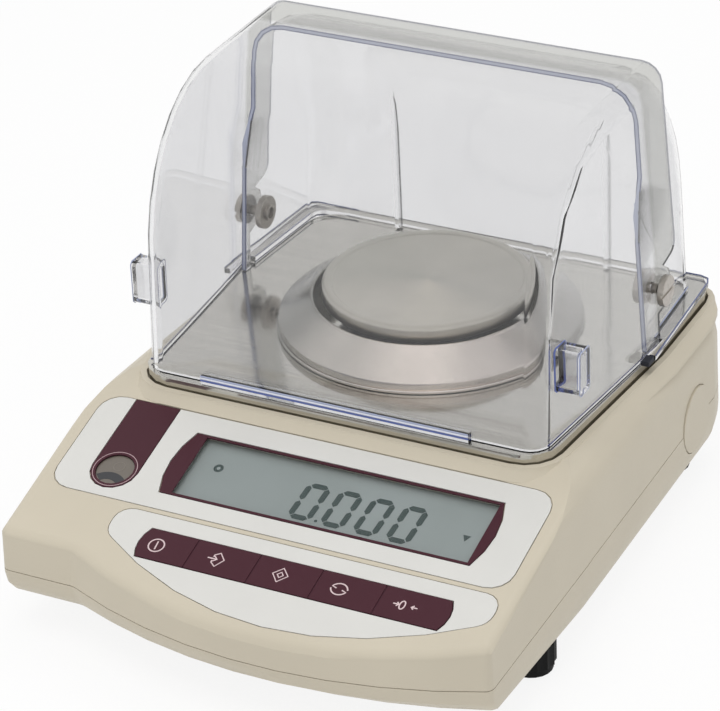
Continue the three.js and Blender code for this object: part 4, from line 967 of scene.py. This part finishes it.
# Painted lines of light round the grips and along the lid's foot, paler on the left and bluer on the right
for name, side, root_finish, root_line in [("left", -1, edge_pale, 0.22), ("right", 1, edge_blue, 0.42)]:
    root = [(side * lid_half(y, z), y, z) for y, z in GRIP_CORNERS]
    wire(f"grip_root_{name}", root, root_line, root_finish, "lid", closed=True)
    end = [(side * (GRIP_OUT - GRIP_END), y, z) for y, z in GRIP_CORNERS]
    wire(f"grip_end_{name}", end, GRIP_END_LINE, edge_pale, "lid", closed=True)
    foot = [(side * lid_half(y, foot_z), y, foot_z) for y in FOOT_STOPS]
    wire(f"lid_foot_{name}", foot, FOOT_LINE, foot_navy, "lid")

# Each painted line of light along the lip: its place against the lip's top, its radius and its finish
LIP_LINES = [
    ("top", -0.1, 0.26, edge_pale), ("light", -0.8, 0.45, bright_edge), ("line", -1.65, 0.4, edge_blue),
]
for name, rise, radius, finish in LIP_LINES:
    lip = [(x, LIP_FRONT_Y - LIP_STANDS_OUT, LIP_TOP + rise) for x in LIP_STOPS]
    wire(f"lid_lip_{name}", lip, radius, finish, "lid")

# Painted lines of light along the hood's flange rim and its foot
for name, side in [("left", -1), ("right", 1)]:
    rim = [
        (FLANGE_FRONT_HALF, FLANGE_FRONT_Y + RIM_FRONT_STEP),
        (FLANGE_REAR_HALF + RIM_OUT, FLANGE_REAR_Y - RIM_CORNER),
        (FLANGE_REAR_HALF - RIM_CORNER_CUT, FLANGE_REAR_Y - RIM_CORNER_CUT_Y),
        (FLANGE_REAR_HALF - RIM_CORNER, FLANGE_REAR_Y),
        (RIM_INNER_END, FLANGE_REAR_Y),
    ]
    wire(f"flange_rim_{name}", [(side * x, y, FLANGE_TOP) for x, y in rim], RIM_LINE, edge_navy, "case")
    foot = [(side * x, y, FLANGE_TOP) for x, y in (HOOD_FOOT_FRONT, HOOD_FOOT_REAR)]
    wire(f"hood_foot_{name}", foot, HOOD_FOOT_LINE, edge_pale, "case")

finished("rest_pad", pad_rubber, "case", "pad_rubber", CASE_ROUNDING)
for side in ("left", "right"):
    finished(f"pivot_screw_{side}", pivot_steel, "case", "screw_steel", CASE_ROUNDING)
    finished(f"pivot_nut_{side}", pivot_steel, "case", "screw_steel", NUT_ROUNDING)

# Floor: white paper that shows nearly white to the camera, in metal and through glass, and keeps the shadow

FLOOR_METRES = 8
WHITE_SHARE = 0.88
bpy.ops.object.select_all(action="DESELECT")
bpy.ops.mesh.primitive_plane_add(size=FLOOR_METRES, location=(0, 0, 0))
floor = bpy.context.object
floor.name = "floor"
floor_paper = Finish("floor_paper", tone(252, 252, 252), roughness=0.9)
floor_paper.tint(floor_paper.noise(size=400, detail=2), tone(249, 249, 249))
glow = floor_paper.node("ShaderNodeEmission")
glow.inputs["Strength"].default_value = 1.0
white_part = floor_paper.node("ShaderNodeMath", operation="MULTIPLY")
white_part.inputs[1].default_value = WHITE_SHARE
floor_paper.link(any_ray(floor_paper.tree, SEEN_RAYS), white_part.inputs[0])
floor_paper.replaced(white_part.outputs["Value"], glow.outputs["Emission"])
floor.data.materials.append(floor_paper.material)

# Backdrop: white where it is seen, and dimmer as light on the object

SKY_LIGHT, SKY_SEEN = 0.59, 1.0
world = bpy.data.worlds.new("studio")
bpy.context.scene.world = world
world.use_nodes = True
sky = world.node_tree
background = sky.nodes["Background"]
background.inputs["Color"].default_value = tone(255, 255, 254)
level_of_light = sky.nodes.new("ShaderNodeMapRange")
level_of_light.inputs["To Min"].default_value = SKY_LIGHT
level_of_light.inputs["To Max"].default_value = SKY_SEEN
sky.links.new(any_ray(sky, SEEN_RAYS), level_of_light.inputs["Value"])
sky.links.new(level_of_light.outputs["Result"], background.inputs["Strength"])

# Lamps, with places in metres

LAMP_AIM = (0, 0, 0.05)
LAMP_SIZE = 0.8


def softbox(name, place, power):
    """A square lamp over the object, which neither steel nor glass mirrors."""
    bpy.ops.object.light_add(type="AREA", location=place)
    lamp = bpy.context.object
    lamp.name = name
    lamp.data.size = LAMP_SIZE
    lamp.data.energy = power
    lamp.visible_glossy = False
    lamp.visible_transmission = False
    lamp.rotation_euler = (Vector(LAMP_AIM) - Vector(place)).to_track_quat("-Z", "Y").to_euler()


softbox("key_light", place=(-0.1, -0.42, 1.25), power=5.5)
softbox("top_light", place=(0.15, 0.5, 1.3), power=3.0)

scene = bpy.context.scene
scene.view_settings.view_transform = "Standard"
